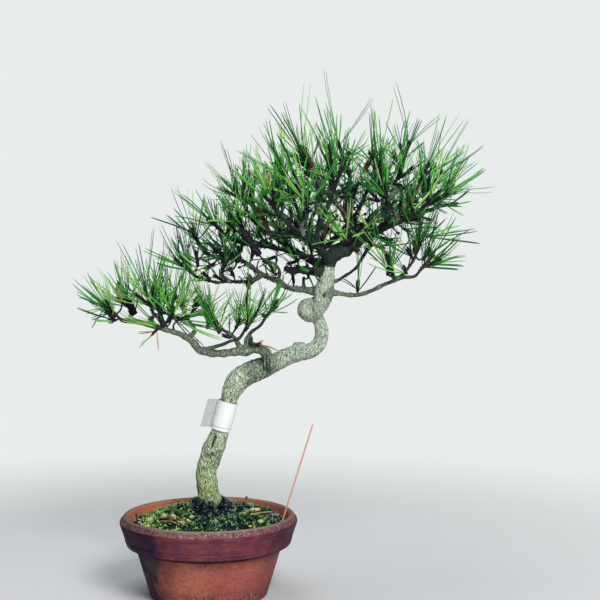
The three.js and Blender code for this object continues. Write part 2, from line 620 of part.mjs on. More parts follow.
// The small faces of a shoot that needles grow from: lowest first, where needles spread widest.
const NEEDLE_FACES = [
  { ring: 1, side: 0, tilt: 58 }, { ring: 1, side: 2, tilt: 50 }, { ring: 1, side: 4, tilt: 54 },
  { ring: 2, side: 1, tilt: 40 }, { ring: 2, side: 3, tilt: 36 },
  { ring: 3, side: 0, tilt: 18 }, { ring: 3, side: 2, tilt: 22 },
];

// One needle: its foot on a face of the shoot, its knee and its tip. Each attempt turns it further.
function needleLine(shoot, face, slot, attempt, reach, seed) {
  const { degToRad } = THREE.MathUtils;
  const root = face.corners[0].clone().add(face.corners[1]).add(face.corners[2]).divideScalar(3);
  const out = root.clone().sub(shoot.fork);
  out.addScaledVector(shoot.heading, -out.dot(shoot.heading)).normalize();
  const swing = (attempt % 2 ? 1 : -1) * Math.ceil(attempt / 2) * NEEDLE.swing;
  out.applyAxisAngle(shoot.heading, swing);
  const wobble = (NEEDLE.wobble + attempt) * (draw(seed, slot + attempt * 7) - 0.5) * 2;
  const tilt = degToRad(Math.max(NEEDLE.steepest, face.tilt + wobble));
  const heading = shoot.heading.clone().multiplyScalar(Math.cos(tilt)).addScaledVector(out, Math.sin(tilt));
  heading.addScaledVector(UP, NEEDLE.lift).normalize();
  const share = THREE.MathUtils.lerp(NEEDLE.shortest, 1, draw(seed + 3, slot));
  const length = reach * share * (1 - 0.02 * attempt);
  const knee = root.clone().addScaledVector(heading, length * NEEDLE.knee);
  const raised = heading.clone().addScaledVector(UP, NEEDLE.lift).normalize();
  return { root, knee, tip: knee.clone().addScaledVector(raised, length * (1 - NEEDLE.knee)) };
}

// Three corners round the knee, each matched to the nearest corner of the needle's foot.
function kneeCorners(needle, corners) {
  const heading = needle.knee.clone().sub(needle.root).normalize();
  const first = corners[0].clone().sub(needle.root);
  const across = first.addScaledVector(heading, -first.dot(heading)).normalize();
  const along = heading.clone().cross(across);
  return [0, 1, 2].map((corner) => {
    const angle = (corner * 2 * Math.PI) / 3;
    return needle.knee.clone()
      .addScaledVector(across, NEEDLE.radius * Math.cos(angle))
      .addScaledVector(along, NEEDLE.radius * Math.sin(angle));
  });
}

// A shoot with its needles as one closed skin: every needle is raised from its own small face.
function shootSkin(shoot, reach, seed, owner, placed) {
  const { rings, bud } = shootRings(shoot);
  const triangles = [];
  const sides = SHOOT.sides;
  for (let side = 1; side < sides - 1; side++) {
    triangles.push([rings[0][0], rings[0][side + 1], rings[0][side]]);
  }
  for (let ring = 0; ring < rings.length; ring++) {
    for (let side = 0; side < sides; side++) {
      const next = (side + 1) % sides;
      const isTop = ring === rings.length - 1;
      const corners = [rings[ring][side], rings[ring][next], isTop ? bud : rings[ring + 1][side]];
      const slot = NEEDLE_FACES.findIndex((face) => face.ring === ring && face.side === side);
      const face = { corners, ...NEEDLE_FACES[slot] };
      const needle = slot < 0 ? null : placeNeedle(shoot, face, slot, reach, seed, owner, placed);
      triangles.push(...(needle ? needleTriangles(needle, corners) : [corners]));
      if (!isTop) {
        triangles.push([rings[ring][next], rings[ring + 1][next], rings[ring + 1][side]]);
      }
    }
  }
  const geometry = new THREE.BufferGeometry();
  const values = triangles.flat().flatMap((point) => point.toArray());
  geometry.setAttribute('position', new THREE.Float32BufferAttribute(values, 3));
  return geometry;
}

function needleTriangles(needle, corners) {
  const knee = kneeCorners(needle, corners);
  const triangles = [];
  for (let corner = 0; corner < 3; corner++) {
    const next = (corner + 1) % 3;
    triangles.push([corners[corner], corners[next], knee[next]]);
    triangles.push([corners[corner], knee[next], knee[corner]]);
    triangles.push([knee[corner], knee[next], needle.tip]);
  }
  return triangles;
}

function placeNeedle(shoot, face, slot, reach, seed, owner, placed) {
  for (let attempt = 0; attempt < NEEDLE.tries; attempt++) {
    const needle = needleLine(shoot, face, slot, attempt, reach, seed);
    if (isClear(needle, shoot, owner, placed)) {
      placed.push({ from: needle.root, to: needle.knee, radius: NEEDLE.radius, owner, shoot });
      placed.push({ from: needle.knee, to: needle.tip, radius: NEEDLE.radius, owner, shoot });
      return needle;
    }
  }
  return null;
}

// Shortest distance between two straight pieces of line.
function lineDistance(a, b) {
  const u = a.to.clone().sub(a.from);
  const v = b.to.clone().sub(b.from);
  const w = a.from.clone().sub(b.from);
  const uu = u.dot(u);
  const uv = u.dot(v);
  const vv = v.dot(v);
  const uw = u.dot(w);
  const vw = v.dot(w);
  const flat = uu * vv - uv * uv;
  let s = flat > 1e-9 ? THREE.MathUtils.clamp((uv * vw - vv * uw) / flat, 0, 1) : 0;
  let t = (uv * s + vw) / vv;
  if (t < 0 || t > 1) {
    t = THREE.MathUtils.clamp(t, 0, 1);
    s = THREE.MathUtils.clamp((uv * t - uw) / uu, 0, 1);
  }
  return w.addScaledVector(u, s).addScaledVector(v, -t).length();
}

// A limb as short straight lines.
function linesAlong(points, owner) {
  const step = 6;
  const curve = branchCurve(points);
  const count = Math.ceil(curve.getLength() / step) + 1;
  const lines = [];
  for (let i = 0; i < count - 1; i++) {
    const t = curve.getUtoTmapping(i / (count - 1));
    const next = curve.getUtoTmapping((i + 1) / (count - 1));
    const radius = radiusAlong(points, t);
    lines.push({ from: curve.getPoint(t), to: curve.getPoint(next), radius, owner });
  }
  return lines;
}

// Everything that a needle has to pass clear of: wood, shoots, and needles already placed.
function woodLines() {
  return [...Object.values(BRANCHES), ...TWIGS].flatMap((points) => linesAlong(points, -1));
}

function shootLine(shoot, owner) {
  const to = shoot.fork.clone().addScaledVector(shoot.heading, shoot.length + SHOOT.bud);
  return { from: shoot.fork, to, radius: SHOOT.neck, owner, shoot, isCore: true };
}

function isClear(needle, shoot, owner, placed) {
  const whole = [{ from: needle.root, to: needle.knee }, { from: needle.knee, to: needle.tip }];
  const start = needle.root.clone().lerp(needle.knee, NEEDLE.rootShare);
  const outer = [{ from: start, to: needle.knee }, whole[1]];
  return placed.every((other) => {
    if (other.shoot !== shoot) {
      const room = other.owner === owner ? NEEDLE.radius * 1.2 : NEEDLE.clearance;
      return whole.every((part) => lineDistance(part, other) > other.radius + room);
    }
    return other.isCore || outer.every((part) => lineDistance(part, other) > other.radius + NEEDLE.radius);
  });
}

function makeSprays() {
  const onTwig = (spray, i) => sprayOn(TWIGS[i], spray[8], spray[9]);
  const onTip = ([name, [shoots, reach]]) => sprayOn(BRANCHES[name], shoots, reach);
  const living = [...Object.entries(TIP_SPRAYS).map(onTip), ...SIDE_SPRAYS.map(onTwig)];
  const dry = DRY_SPRAYS.map((spray, i) => ({ ...onTwig(spray, SIDE_SPRAYS.length + i), dry: true }));
  const sprays = [...living, ...dry].map((spray, index) => ({ ...spray, all: shootsOf(spray, index) }));
  const stems = sprays.flatMap(({ all }, index) => all.map((shoot) => shootLine(shoot, index)));
  const placed = [...woodLines(), ...stems];
  return sprays.map(({ all, reach, dry: isDry }, index) => {
    const skins = all.map((shoot, k) => shootSkin(shoot, reach, index * 5 + k, index, placed));
    const number = String(index + 1).padStart(2, '0');
    return {
      name: isDry ? `dry_spray_${index + 1 - living.length}` : `spray_${number}`,
      colour: isDry ? COLOUR.dryNeedles : COLOUR.needles,
      geometry: toGeometry(joined(skins)),
    };
  });
}

// ---------------------------------------------------------------- assembly

function piece(name, geometry, colour, roughness = 0.85) {
  const material = new THREE.MeshStandardMaterial({ color: colour, roughness, metalness: 0 });
  const mesh = new THREE.Mesh(geometry, material);
  mesh.name = name;
  return mesh;
}

const bonsai = new THREE.Group();
bonsai.add(piece('pot', makePot(), COLOUR.pot, 0.8));
bonsai.add(piece('drain_screen', makeDrainScreen(), COLOUR.screen, 0.6));
bonsai.add(piece('soil', makeSoil(), COLOUR.soil, 0.95));
bonsai.add(piece('moss', makeMoss(), COLOUR.moss, 0.95));
bonsai.add(piece('tree', makeTree(), COLOUR.bark, 0.9));
bonsai.add(piece('label_band', makeLabel(), COLOUR.label, 0.45));
bonsai.add(piece('marker_stick', rodGeometry(STICK), COLOUR.stick, 0.7));
bonsai.add(piece('short_peg', rodGeometry(PEG), COLOUR.peg, 0.8));
bonsai.add(piece('straw', strawGeometry(), COLOUR.straw, 0.8));
PEBBLES.forEach((pebble, i) => {
  bonsai.add(piece(`pebble_${i + 1}`, pebbleGeometry(pebble), pebble.colour, 0.9));
});
for (const { name, geometry, colour } of makeSprays()) {
  bonsai.add(piece(name, geometry, colour, 0.6));
}

export default bonsai;
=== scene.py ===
"""Bonsai pine in a round clay pot: bark, needles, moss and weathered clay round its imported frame."""
import math
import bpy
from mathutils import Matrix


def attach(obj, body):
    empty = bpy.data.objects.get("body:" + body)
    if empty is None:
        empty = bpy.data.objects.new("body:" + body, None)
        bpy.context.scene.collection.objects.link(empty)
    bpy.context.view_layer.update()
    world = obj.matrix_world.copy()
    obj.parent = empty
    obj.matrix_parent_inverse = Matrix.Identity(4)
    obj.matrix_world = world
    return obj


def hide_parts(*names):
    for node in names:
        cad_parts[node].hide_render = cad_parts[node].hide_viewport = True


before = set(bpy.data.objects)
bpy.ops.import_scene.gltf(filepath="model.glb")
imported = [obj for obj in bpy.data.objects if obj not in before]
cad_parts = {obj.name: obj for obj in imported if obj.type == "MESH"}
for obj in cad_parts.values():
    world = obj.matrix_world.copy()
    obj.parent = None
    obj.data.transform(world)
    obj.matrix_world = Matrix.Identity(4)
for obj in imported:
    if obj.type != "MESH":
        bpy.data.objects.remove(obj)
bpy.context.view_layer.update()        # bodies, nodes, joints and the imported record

from types import SimpleNamespace as Sizes

import bpy
import numpy as np
from bpy.props import FloatProperty, FloatVectorProperty, IntProperty, PointerProperty
from mathutils import Matrix, Vector, kdtree, noise

bl_info = {
    "name": "Bonsai Pine Builder",
    "version": (1, 0, 0),
    "blender": (4, 5, 0),
    "location": "3D Viewport > Sidebar > Bonsai",
    "description": "Dresses the frame of a potted pine with bark, needles, moss and weathered clay",
    "category": "Object",
}

BODY = "root"
MM = 0.001
GOLDEN_ANGLE = math.pi * (3 - math.sqrt(5))
UP = np.array([0.0, 0.0, 1.0])

# ------------------------------------------------------------------ sizes, in millimetres

# Every branch is a list of points (x, y, z, radius).
BRANCHES = {
    "trunk": [(1.5, 0, 40, 7), (1.5, 0, 58, 9.6), (1.2, 0, 67, 10.6), (1, 0, 74, 10), (-0.5, 1, 84, 9),
        (-2.2, 2, 95, 9.1), (-2, 2, 105, 8.6), (1.2, 1, 115, 9.3), (5.1, 0, 125.5, 8.9), (9.2, 0, 136, 7.6),
        (13, 0, 151, 7.2), (16.8, 0, 163.5, 7), (19.3, -1, 171.5, 8.2), (23.8, -2, 179, 9.6),
        (29, -3, 184, 9.4), (39, -4, 189, 9.4), (49, -4, 192.5, 8.6), (60, -3, 197.5, 7.6),
        (68, -2, 201.5, 7.4), (77, 0, 204, 7.6), (85.5, 2, 205.3, 6.6), (91.5, 4, 208.6, 6.3),
        (95, 5, 214.5, 6), (95.4, 6, 222, 5.7), (93.8, 6, 229, 5.3), (91.6, 5, 233.6, 5.3), (91.4, 1, 239, 6),
        (94.2, -1, 244.5, 7), (96.6, -2, 251, 8.3), (97.6, -2, 257.5, 8.6), (99.4, -2, 264.4, 6.8),
        (100.2, -1, 271.2, 6), (100.6, 0, 278, 6.4), (103.5, 0, 285, 6.6), (109, -2, 290.5, 5.6)],
    "burl": [(93, 6, 236, 5), (86.5, 7, 237.5, 6.2), (83.6, 5, 242, 6.4), (88, 2, 245, 5.4), (94, 0, 246, 4)],
    "topNub": [(77, 0, 203, 6), (77.3, 1, 211.5, 4.2)],
    "frontKnob": [(1, -7, 121, 2.6), (0.6, -11.2, 121.4, 2.2)],
    "lowLeft": [(50.5, -7, 190, 4), (50.3, -12, 199, 4.2), (47, -15, 206.3, 3.8), (39.5, -15, 208.3, 3.5),
        (32.9, -15, 206, 3.6), (25.3, -15, 205.4, 3.1), (8.8, -17, 204.3, 2.9), (-1.1, -18, 205.6, 2.9),
        (-7.4, -18, 208.2, 3.3), (-11.1, -18, 212.7, 3), (-17, -18, 217.4, 2.5), (-26.2, -17, 221.4, 2.3),
        (-35.5, -16, 224, 2.1), (-51, -13, 229.6, 1.8), (-71, -12, 231.3, 1.4), (-77, -13, 236.5, 1.4)],
    "lowLeftA": [(33, -15, 205.5, 2.3), (25.9, -15, 211.6, 1.9), (20.9, -16, 218.7, 1.7), (12, -17, 225, 1.4),
        (7, -18, 232, 1.4)],
    "lowLeftB": [(33.7, -15, 206, 2.1), (32, -12, 214, 1.9), (34, -9, 219, 1.6), (44, -6, 228, 1.4),
        (49, -3, 235, 1.4)],
    "lowLeftC": [(-4, -18, 207, 1.9), (8, -23, 211, 1.7), (17, -27, 214, 1.5), (27, -30, 218, 1.4),
        (32, -32, 225, 1.4)],
    "lowLeftD": [(-16.5, -18, 217, 1.9), (-12, -11, 221.5, 1.9), (-12.4, -4, 225.5, 1.7), (-17, 2, 230, 1.4),
        (-21, 6, 237, 1.4)],
    "midLeft": [(97.4, 0, 256, 3.1), (87.7, 3, 256, 3), (81.4, 5, 256.7, 2.6), (72.8, 7, 257.5, 2.4),
        (65, 8, 259.6, 2.3), (59.6, 8, 263.5, 2.4), (52, 8, 266.8, 2.2), (43.8, 8, 270.6, 2.1),
        (35, 12, 276.3, 1.9), (28, 15, 281, 1.8), (17.6, 17, 283.2, 1.6), (4, 18, 285.2, 1.5),
        (-5, 18, 288.5, 1.4), (-9, 18, 295, 1.4)],
    "midLeftLow": [(44.6, 8, 269.8, 1.8), (35, 4, 264.6, 1.6), (27, 2, 264, 1.5), (15, 0, 264, 1.5),
        (6, -2, 263.7, 1.4), (-2.2, -4, 265.4, 1.4), (-10, -5, 268, 1.4), (-16, -6, 273, 1.4)],
    "loop": [(58.5, 8, 264, 1.4), (59.6, 2, 272, 1.4), (57, -3, 277.4, 1.4), (52, -7, 280.6, 1.4),
        (46, -11, 283, 1.4)],
    "cutStub": [(80.5, 5, 257, 1.4), (80, 5, 267.5, 1.4)],
    "lowRight": [(98, -2, 254.6, 2.8), (107, -3, 254.4, 2.2), (116, -5, 253.1, 1.9), (125.5, -8, 252.8, 1.9),
        (131.6, -10, 254.5, 1.8), (146, -13, 261, 1.7), (163, -14, 267.3, 1.5), (173, -13, 268.5, 1.4),
        (178, -12, 274, 1.4)],
    "lowRightUp": [(159, -14, 266, 1.4), (166, -16, 274, 1.4), (171, -19, 281, 1.4), (174, -21, 289, 1.4)],
    "midRight": [(100, 0, 263.6, 1.9), (107, 5, 264.4, 1.6), (115, 9, 267.7, 1.4), (125, 14, 275, 1.4),
        (130, 17, 283, 1.4)],
    "gnarled": [(98, 0, 274, 3.6), (88, -3, 272.6, 3.1), (77, -5, 274.4, 3), (71, -6, 273, 2.8),
        (64, -6, 275.6, 2.5)],
    "right": [(106, -1, 287.5, 5.2), (116.8, -4, 292.5, 4.5), (125.1, -6, 297, 4), (142.8, -7, 307, 3.5),
        (161.5, -5, 316, 2.8), (177, -1, 322.5, 2.1), (191, 3, 326, 1.6), (197, 5, 333, 1.4)],
    "rightFront": [(138, -7, 304.5, 2.3), (146, -22, 308, 2), (157, -36, 313, 1.8), (171, -46, 319, 1.4),
        (178, -50, 326, 1.4)],
    "rightBack": [(124, -5, 296.5, 2.6), (133, 12, 302, 2.3), (146, 29, 309, 2), (162, 43, 319, 1.6),
        (167, 48, 327, 1.4)],
    "rightTop": [(146, -7, 309, 2.3), (149, -4, 325, 1.9), (156, 0, 342, 1.7), (162, 4, 357, 1.4),
        (165, 6, 366, 1.4)],
    "greyUp": [(119, -5, 294, 2.5), (118, -8, 306, 2.1), (116, -9, 317, 2), (107, -7, 329, 1.9),
        (97, -4, 341, 1.7), (90, -1, 352, 1.4), (86, 0, 360, 1.4)],
    "tallUp": [(111, -2, 291, 2.6), (118, 6, 307, 2.3), (120, 11, 324, 2), (121, 12, 339, 1.7),
        (120, 10, 351, 1.4), (117, 8, 360, 1.4)],
    "leftUp": [(101, 0, 278, 3.5), (86, 4, 282, 3), (73, 8, 290.5, 2.6), (60, 10, 299.5, 2.5),
        (47, 9, 309, 2.1), (38, 5, 316, 1.8), (33, 2, 323, 1.4), (29, 0, 330, 1.4)],
    "leftLow": [(75, 7, 289, 2.3), (62, -2, 291, 2), (47, -8, 294, 1.9), (32, -11, 296, 1.7),
        (19, -9, 300, 1.4), (11, -8, 307, 1.4)],
    "front": [(102, -1, 281, 3.3), (97, -16, 287, 2.8), (88, -30, 296, 2.3), (76, -42, 305, 1.9),
        (63, -49, 315, 1.6), (57, -53, 323, 1.4)],
    "frontUp": [(90, -27, 294, 1.9), (92, -34, 306, 1.8), (97, -38, 320, 1.6), (102, -37, 331, 1.4),
        (105, -38, 340, 1.4)],
    "back": [(101, 1, 279.5, 3.5), (97, 18, 287, 3), (91, 35, 298, 2.5), (84, 50, 310, 2), (77, 61, 321, 1.6),
        (74, 66, 330, 1.4)],
    "backLeft": [(93, 30, 294.5, 2.3), (76, 38, 302, 2), (58, 43, 311, 1.8), (43, 44, 319, 1.4),
        (37, 46, 327, 1.4)],
    "backRight": [(95, 24, 290, 2.3), (106, 38, 300, 2), (117, 50, 312, 1.8), (128, 58, 325, 1.4),
        (132, 62, 333, 1.4)],
}

# Sprays that crown the end of a branch: (shoots, needle length).
TIP_SPRAYS = {
    "lowLeft": (3, 36), "lowLeftA": (2, 44), "lowLeftB": (2, 38), "lowLeftC": (2, 42), "lowLeftD": (2, 46),
    "midLeft": (2, 48), "midLeftLow": (2, 42), "lowRight": (2, 44), "lowRightUp": (2, 48), "midRight": (1, 42),
    "right": (3, 48), "rightFront": (2, 46), "rightBack": (2, 48), "rightTop": (2, 54), "greyUp": (3, 60),
    "tallUp": (2, 68), "leftUp": (3, 46), "leftLow": (2, 46), "front": (2, 48), "frontUp": (2, 54),
    "back": (2, 48), "backLeft": (2, 48), "backRight": (2, 48),
}

# Sprays on twigs of their own: (branch, place along it, foot x, y, z, lean x, y, z, shoots, length).
SIDE_SPRAYS = [
    ("lowLeft", 0.9, -66, -4, 239, -0.35, 0.35, 0.95, 2, 46),
    ("lowLeft", 0.78, -45, -23, 240, -0.3, -0.25, 1, 3, 56),
    ("lowLeft", 0.7, -33, -7, 237, -0.15, 0.35, 0.95, 2, 52),
    ("midLeftLow", 0.45, 12, -9, 273, 0.1, -0.5, 0.85, 2, 36),
    ("midLeft", 0.8, 12, 27, 292, -0.3, 0.5, 0.8, 2, 46),
    ("lowRight", 0.72, 153, -22, 271, -0.25, -0.35, 0.9, 1, 42),
    ("leftUp", 0.72, 40, 20, 322, -0.4, 0.35, 0.85, 2, 46),
    ("leftLow", 0.55, 30, -20, 306, -0.25, -0.4, 0.9, 2, 44),
    ("leftUp", 0.5, 57, -5, 328, -0.2, -0.25, 1, 2, 50), ("front", 0.6, 83, -50, 322, 0.05, -0.5, 0.85, 2, 48),
    ("frontUp", 0.5, 77, -29, 338, -0.3, -0.2, 1, 2, 52), ("greyUp", 0.7, 66, 10, 349, -0.5, 0.15, 0.9, 2, 56),
    ("greyUp", 0.55, 104, -18, 354, -0.1, -0.15, 1, 1, 66),
    ("tallUp", 0.7, 140, 27, 354, 0.25, 0.35, 0.95, 2, 54), ("tallUp", 0.5, 104, 30, 354, -0.2, 0.3, 1, 2, 58),
    ("rightTop", 0.6, 144, -21, 354, 0, -0.3, 0.95, 2, 52),
    ("rightTop", 0.45, 177, -17, 347, 0.4, -0.25, 0.9, 2, 50),
    ("rightFront", 0.55, 147, -46, 328, -0.05, -0.5, 0.85, 2, 46),
    ("right", 0.75, 190, 20, 343, 0.5, 0.3, 0.85, 2, 52),
    ("rightBack", 0.55, 150, 47, 340, 0, 0.45, 0.9, 2, 50), ("back", 0.6, 92, 50, 338, 0.05, 0.3, 1, 2, 54),
    ("backLeft", 0.5, 60, 38, 338, -0.25, 0.15, 1, 2, 50),
]
# Two bunches of dry needles that droop from the lower branches.
DRY_SPRAYS = [
    ("lowLeft", 0.74, -41, -21, 225, -0.6, -0.3, -0.6, 1, 20),
    ("lowLeftB", 0.35, 40, -17, 212, 0.9, -0.3, 0.1, 1, 17),
]
SHOOT_RADIUS = 1.4
FORK_GAP = 0.3
LONG_USUAL = 47  # only one needle in twelve grows past this
TWIG_RADIUS = 1.8
SPUR_RADIUS = 1.25
SPRIG_RADIUS = 0.46
BRACT_RADIUS = 0.5

POT = Sizes(rim=75, crest=71, rim_height=68, ridge_height=62.8, band_foot=43.5, band_foot_radius=69.5,
            body=62.5, foot=49.5, wall_inside=66.5, body_inside=57, floor=6.5, floor_radius=44)
DRAIN = Sizes(hole=5.5, circle=17)
MOSS = Sizes(edge=60, crown=71.5, mound=50, slope=0.033, dip=2.5, dip_x=-62, dip_width=18, relief=0.8, wave=3.4,
             collar=4.5, collar_radius=12, trunk_hole=10.5, tone=0.48)
LABEL = Sizes(radius=8, wall=0.6, height=24.5, tail=8.5, tilt=15, swing=-8, at=(12.9, 0, 150.4))
STICK = Sizes(radius=0.7, foot=(59.2, -2, 52), tip=(88, -3, 143.5))
PEG = Sizes(radius=0.8, foot=(-58.8, -4, 52), tip=(-61.4, -4, 68.5))
# Stones on the moss: the place (x, y), half the size each way, the turn and the tone.
PEBBLES = [
    ((33, 30), (4.4, 3, 2.2), 0.4, 0.25), ((-36.4, -12.5), (2.2, 2, 2.2), 1.1, 0.86),
    ((-28.5, -19), (3, 2.4, 2.2), 2.3, 0.8), ((44.5, -20), (2.7, 2.3, 1.8), 0.9, 1.0),
]
GRIT = [
    ((-20.7, -33.5), (3, 2, 1), 0.3, 0.62), ((-15, -31), (2.4, 1.4, 1.1), 1.9, 0.8),
    ((-12, -27), (2.2, 1.6, 1.3), 2.9, 0.8), ((-16.7, -22), (1.3, 1, 0.9), 1.4, 0.35),
    ((22.6, -2), (0.9, 0.9, 0.9), 0.6, 0.8), ((38.5, 9), (5, 2.4, 1.3), 0.2, 0.86),
    ((36.3, -33.5), (1.8, 1.4, 1), 2.2, 1.0), ((16.6, -36.1), (1, 1, 1), 0.4, 0.55),
    ((21.8, -37.5), (1, 1, 1), 1.2, 0.55), ((57.5, 22), (1.4, 1.2, 1.2), 0.8, 0.7),
]
CRUMB = ((28.9, 62.2), (1.2, 1, 1.4), 0.5, 0.0)
STRAW = [(36, -14), (44.5, 7), (53, 27)]
# Red brown needles on the moss: both ends (x, y) of each and its tint.
FALLEN = [((-36, -15), (-17, -35), 0.5), ((-38.5, -25), (-21, -41), 0.4), ((-36, -21), (-20, -38), 0.0),
          ((36, -9.8), (45.1, 20.1), 0.0), ((-20, 36), (-6, 44), 0.3)]
# Lighter and darker areas of the moss: the middle (x, y), the reach both ways, how much lighter, how blue. The
# dark blue areas, by the trunk above all, are painted shade.
MOSS_AREAS = [
    (6, -5, 23, 25, -0.22, 1), (-51, -12, 14, 26, 0.34, 0), (-25, -41, 16, 6, 0.28, 0),
    (13, -44, 11, 4, -0.02, 0.5), (31, -8, 5, 6, 0.34, 0), (55, 6, 9, 20, -0.06, 0.85),
    (-26, 4, 9, 10, -0.1, 0.5), (28, 18, 7, 9, -0.3, 0.7), (46, 26, 7, 7, -0.3, 0.6), (6, -33, 26, 6, 0.06, 0),
]
# Grooves in the front of the bark: both ends (x, z), the width and the depth.
GROOVES = [
    ((5.6, 134.2), (2.6, 124.6), 1.2, 1.7), ((45.6, 202), (46.6, 190), 0.8, 0.9),
    ((48.8, 203), (49.4, 188), 0.9, 1.1), ((52, 200), (51.4, 187), 0.7, 0.8),
    ((3.4, 119.2), (4.2, 118), 1.2, 0.8), ((97.4, 254), (97.4, 251.6), 1.7, 1),
]
KNOB = (0.6, -11, 121.4)
SAWN = Sizes(x=77.3, z=215, reach=6, depth=3, cut=212.2)
CROWN = ["midLeft", "midLeftLow", "gnarled", "right", "rightFront", "rightBack", "rightTop", "greyUp", "tallUp",
         "leftUp", "leftLow", "front", "frontUp", "back", "backLeft", "backRight"]

# The longest needles, which shape the outline: the spray's number and the tips of its own (x, y, z).
LONG_NEEDLES = {
    1: [(-103.6, -10, 272), (-93.5, -14, 267), (-105.3, -16, 259), (-108.5, -12, 252), (-104.4, -14, 235.4),
        (-100, -12, 226)],
    6: [(-52.7, 14, 321)], 8: [(216, -12, 282), (205, -14, 286)],
    9: [(226, -20, 296), (220.3, -26, 304), (214, -24, 309)], 11: [(242.8, 8, 336)], 12: [(196, -97, 345)],
    13: [(172, 98, 348)], 14: [(166.3, 12, 426), (199, 2, 412)], 15: [(81.4, 6, 431), (59.4, -8, 411)],
    16: [(93.4, 12, 446), (147.8, -4, 426)], 17: [(16.9, 0, 377), (-1.4, -4, 362)], 18: [(-31.5, -14, 341)],
    19: [(44, -99, 346), (58, -98, 350)], 21: [(66, 117, 350), (80, 115, 356)], 22: [(30, 94, 352)],
    23: [(142, 114, 356), (128, 112, 358)], 24: [(-72.6, -8, 287), (-78.5, -6, 284)],
    25: [(-42.5, -25, 306), (-62.6, -20, 290)], 26: [(-31.6, -8, 305)], 30: [(25.2, 20, 390)],
    35: [(46.4, 6, 408)], 39: [(155.4, -14, 422)], 40: [(194.8, -22, 395)],
    42: [(218.6, 24, 404), (243, 26, 377)],
}
# Shoots on twigs of their own:
# (foot x, y, z, heading x, y, z, stem length and radius, pairs, needle length, tone, warm).
SMALL_SHOOTS = [
    (41.4, -20, 288.8, -0.55, -0.2, 0.8, 20, 3.1, 8, 34, 0.15, 0.05),
    (53.3, -30, 302.7, -0.45, -0.2, 0.87, 20, 1.7, 7, 36, 0.5, 1),
    (86.2, -26, 294.6, -0.55, -0.25, 0.8, 20, 2.8, 7, 36, 0.45, 0.1),
    (115.5, -16, 298.1, -0.6, -0.25, 0.75, 6, 1.6, 6, 44, 0.8, 0.1),
    (119, -12, 298.1, 0.6, -0.25, 0.7, 24, 1.7, 4, 40, 0.6, 0),
    (25.1, -6, 286.5, -0.6, -0.4, 0.1, 8, 1.8, 6, 36, 0.2, 0.1),
    (88, -12, 359.4, -0.45, -0.1, 0.85, 14, 1.8, 5, 44, 0.6, 1),
    (131.3, -16, 357.3, 0.45, -0.15, 0.85, 14, 1.9, 6, 34, 0.7, 0.9),
    (165, -40, 326.9, 0.45, -0.25, 0.85, 12, 2, 6, 34, 0.6, 0.8),
    (-13.9, 4, 238.9, 0.25, 0, 0.95, 8, 1.3, 1, 30, 0.3, 0.05),
    (125.4, -8.5, 256, 0.05, -0.15, 1, 4, 1.3, 4, 42, 0.35, 0.1),
    (-76.8, -13, 232, -1, 0, -0.1, 3, 1.3, 3, 31, 0.5, 0.1),
    (-38.7, -17, 226.4, -1, -0.3, 0.15, 3, 1.3, 5, 34, 1, 0.3),
    (-79, -14, 234, -0.6, 0, 0.7, 6, 2.2, 3, 26, 0.3, 0.05),
    (-62, -7, 238, -0.4, -0.1, 0.9, 7, 2.3, 4, 30, 0.3, 0.05),
    (-38.4, -24, 239, -0.1, -0.2, 1, 6, 2.2, 3, 30, 0.4, 0.05),
    (-12.4, -2, 241, 0.3, 0, 1, 6, 2.2, 1, 26, 0.3, 0.05),
    (-36.5, -19, 228, -0.2, -0.2, 0.6, 5, 2.4, 3, 26, 0.2, 0.1),
    (25, -8, 281, -0.3, -0.3, 0.8, 5, 2.4, 6, 30, 0.15, 0),
    (12, -4, 287, -0.7, -0.2, 0.4, 5, 1.8, 6, 36, 0.3, 0),
    (-30.9, -12, 236.2, 0.9, -0.3, -0.3, 3, 1.3, 4, 42, 0.6, 0.1),
    (18.7, -16, 217.2, -0.9, -0.1, 0.35, 3, 1.3, 1, 28, 0.9, 0.3),
    (45, -4, 235.8, 1, -0.15, -0.15, 2, 1.3, 1, 36, 0.2, 0.1),
    (-70.9, -16, 249.7, -0.25, -0.1, 0.95, 9, 1.4, 2, 34, 0.8, 0.8),
    (33.6, -4, 259, 0.1, -0.2, 0.8, 7, 1.6, 3, 26, 0.3, 0.8),
    (-38, -20, 236, -0.25, -0.2, 1, 6, 1.4, 9, 46, 0.6, 0),
    (-29, -22, 234, 0.1, -0.2, 1, 6, 1.4, 10, 50, 0.6, 0),
    (-24, -22, 233, 0.85, -0.2, 0.15, 5, 1.4, 8, 44, 0.6, 0),
    (-36, -14, 238, -0.75, 0.1, 0.6, 6, 1.4, 6, 46, 0.35, 0),
    (0, -20, 226, 0.3, -0.3, 0.9, 5, 1.4, 8, 40, 0.6, 0.3),
    (24, -20, 226, 0.35, -0.3, 0.9, 5, 1.4, 9, 42, 0.65, 0),
    (10, -22, 222, -0.35, -0.3, 0.9, 5, 1.4, 9, 40, 0.6, 0.6),
    (33.5, -24, 226, 0.1, -0.3, 1, 5, 1.4, 7, 38, 0.3, 0),
    (150, -20, 270, 0.1, -0.3, 0.9, 5, 1.4, 3, 42, 0.5, 0),
    (180, -18, 283, 0.45, -0.15, 0.85, 7, 1.5, 8, 46, 0.45, 0.05),
    (172, -22, 288, 0.05, -0.2, 1, 7, 1.5, 7, 48, 0.4, 0.9),
    (186, -14, 279, 0.9, -0.1, 0.3, 5, 1.3, 4, 34, 0.35, 0.05),
    (154.5, -16, 270, -0.2, -0.1, 1, 6, 1.5, 4, 44, 0.25, 0.05),
    (166, -16, 271, -0.4, -0.1, 0.9, 3, 1.3, 4, 48, 0.4, 0),
    (170, -22, 284, -0.45, -0.2, 0.85, 4, 1.3, 5, 46, 0.4, 0),
]
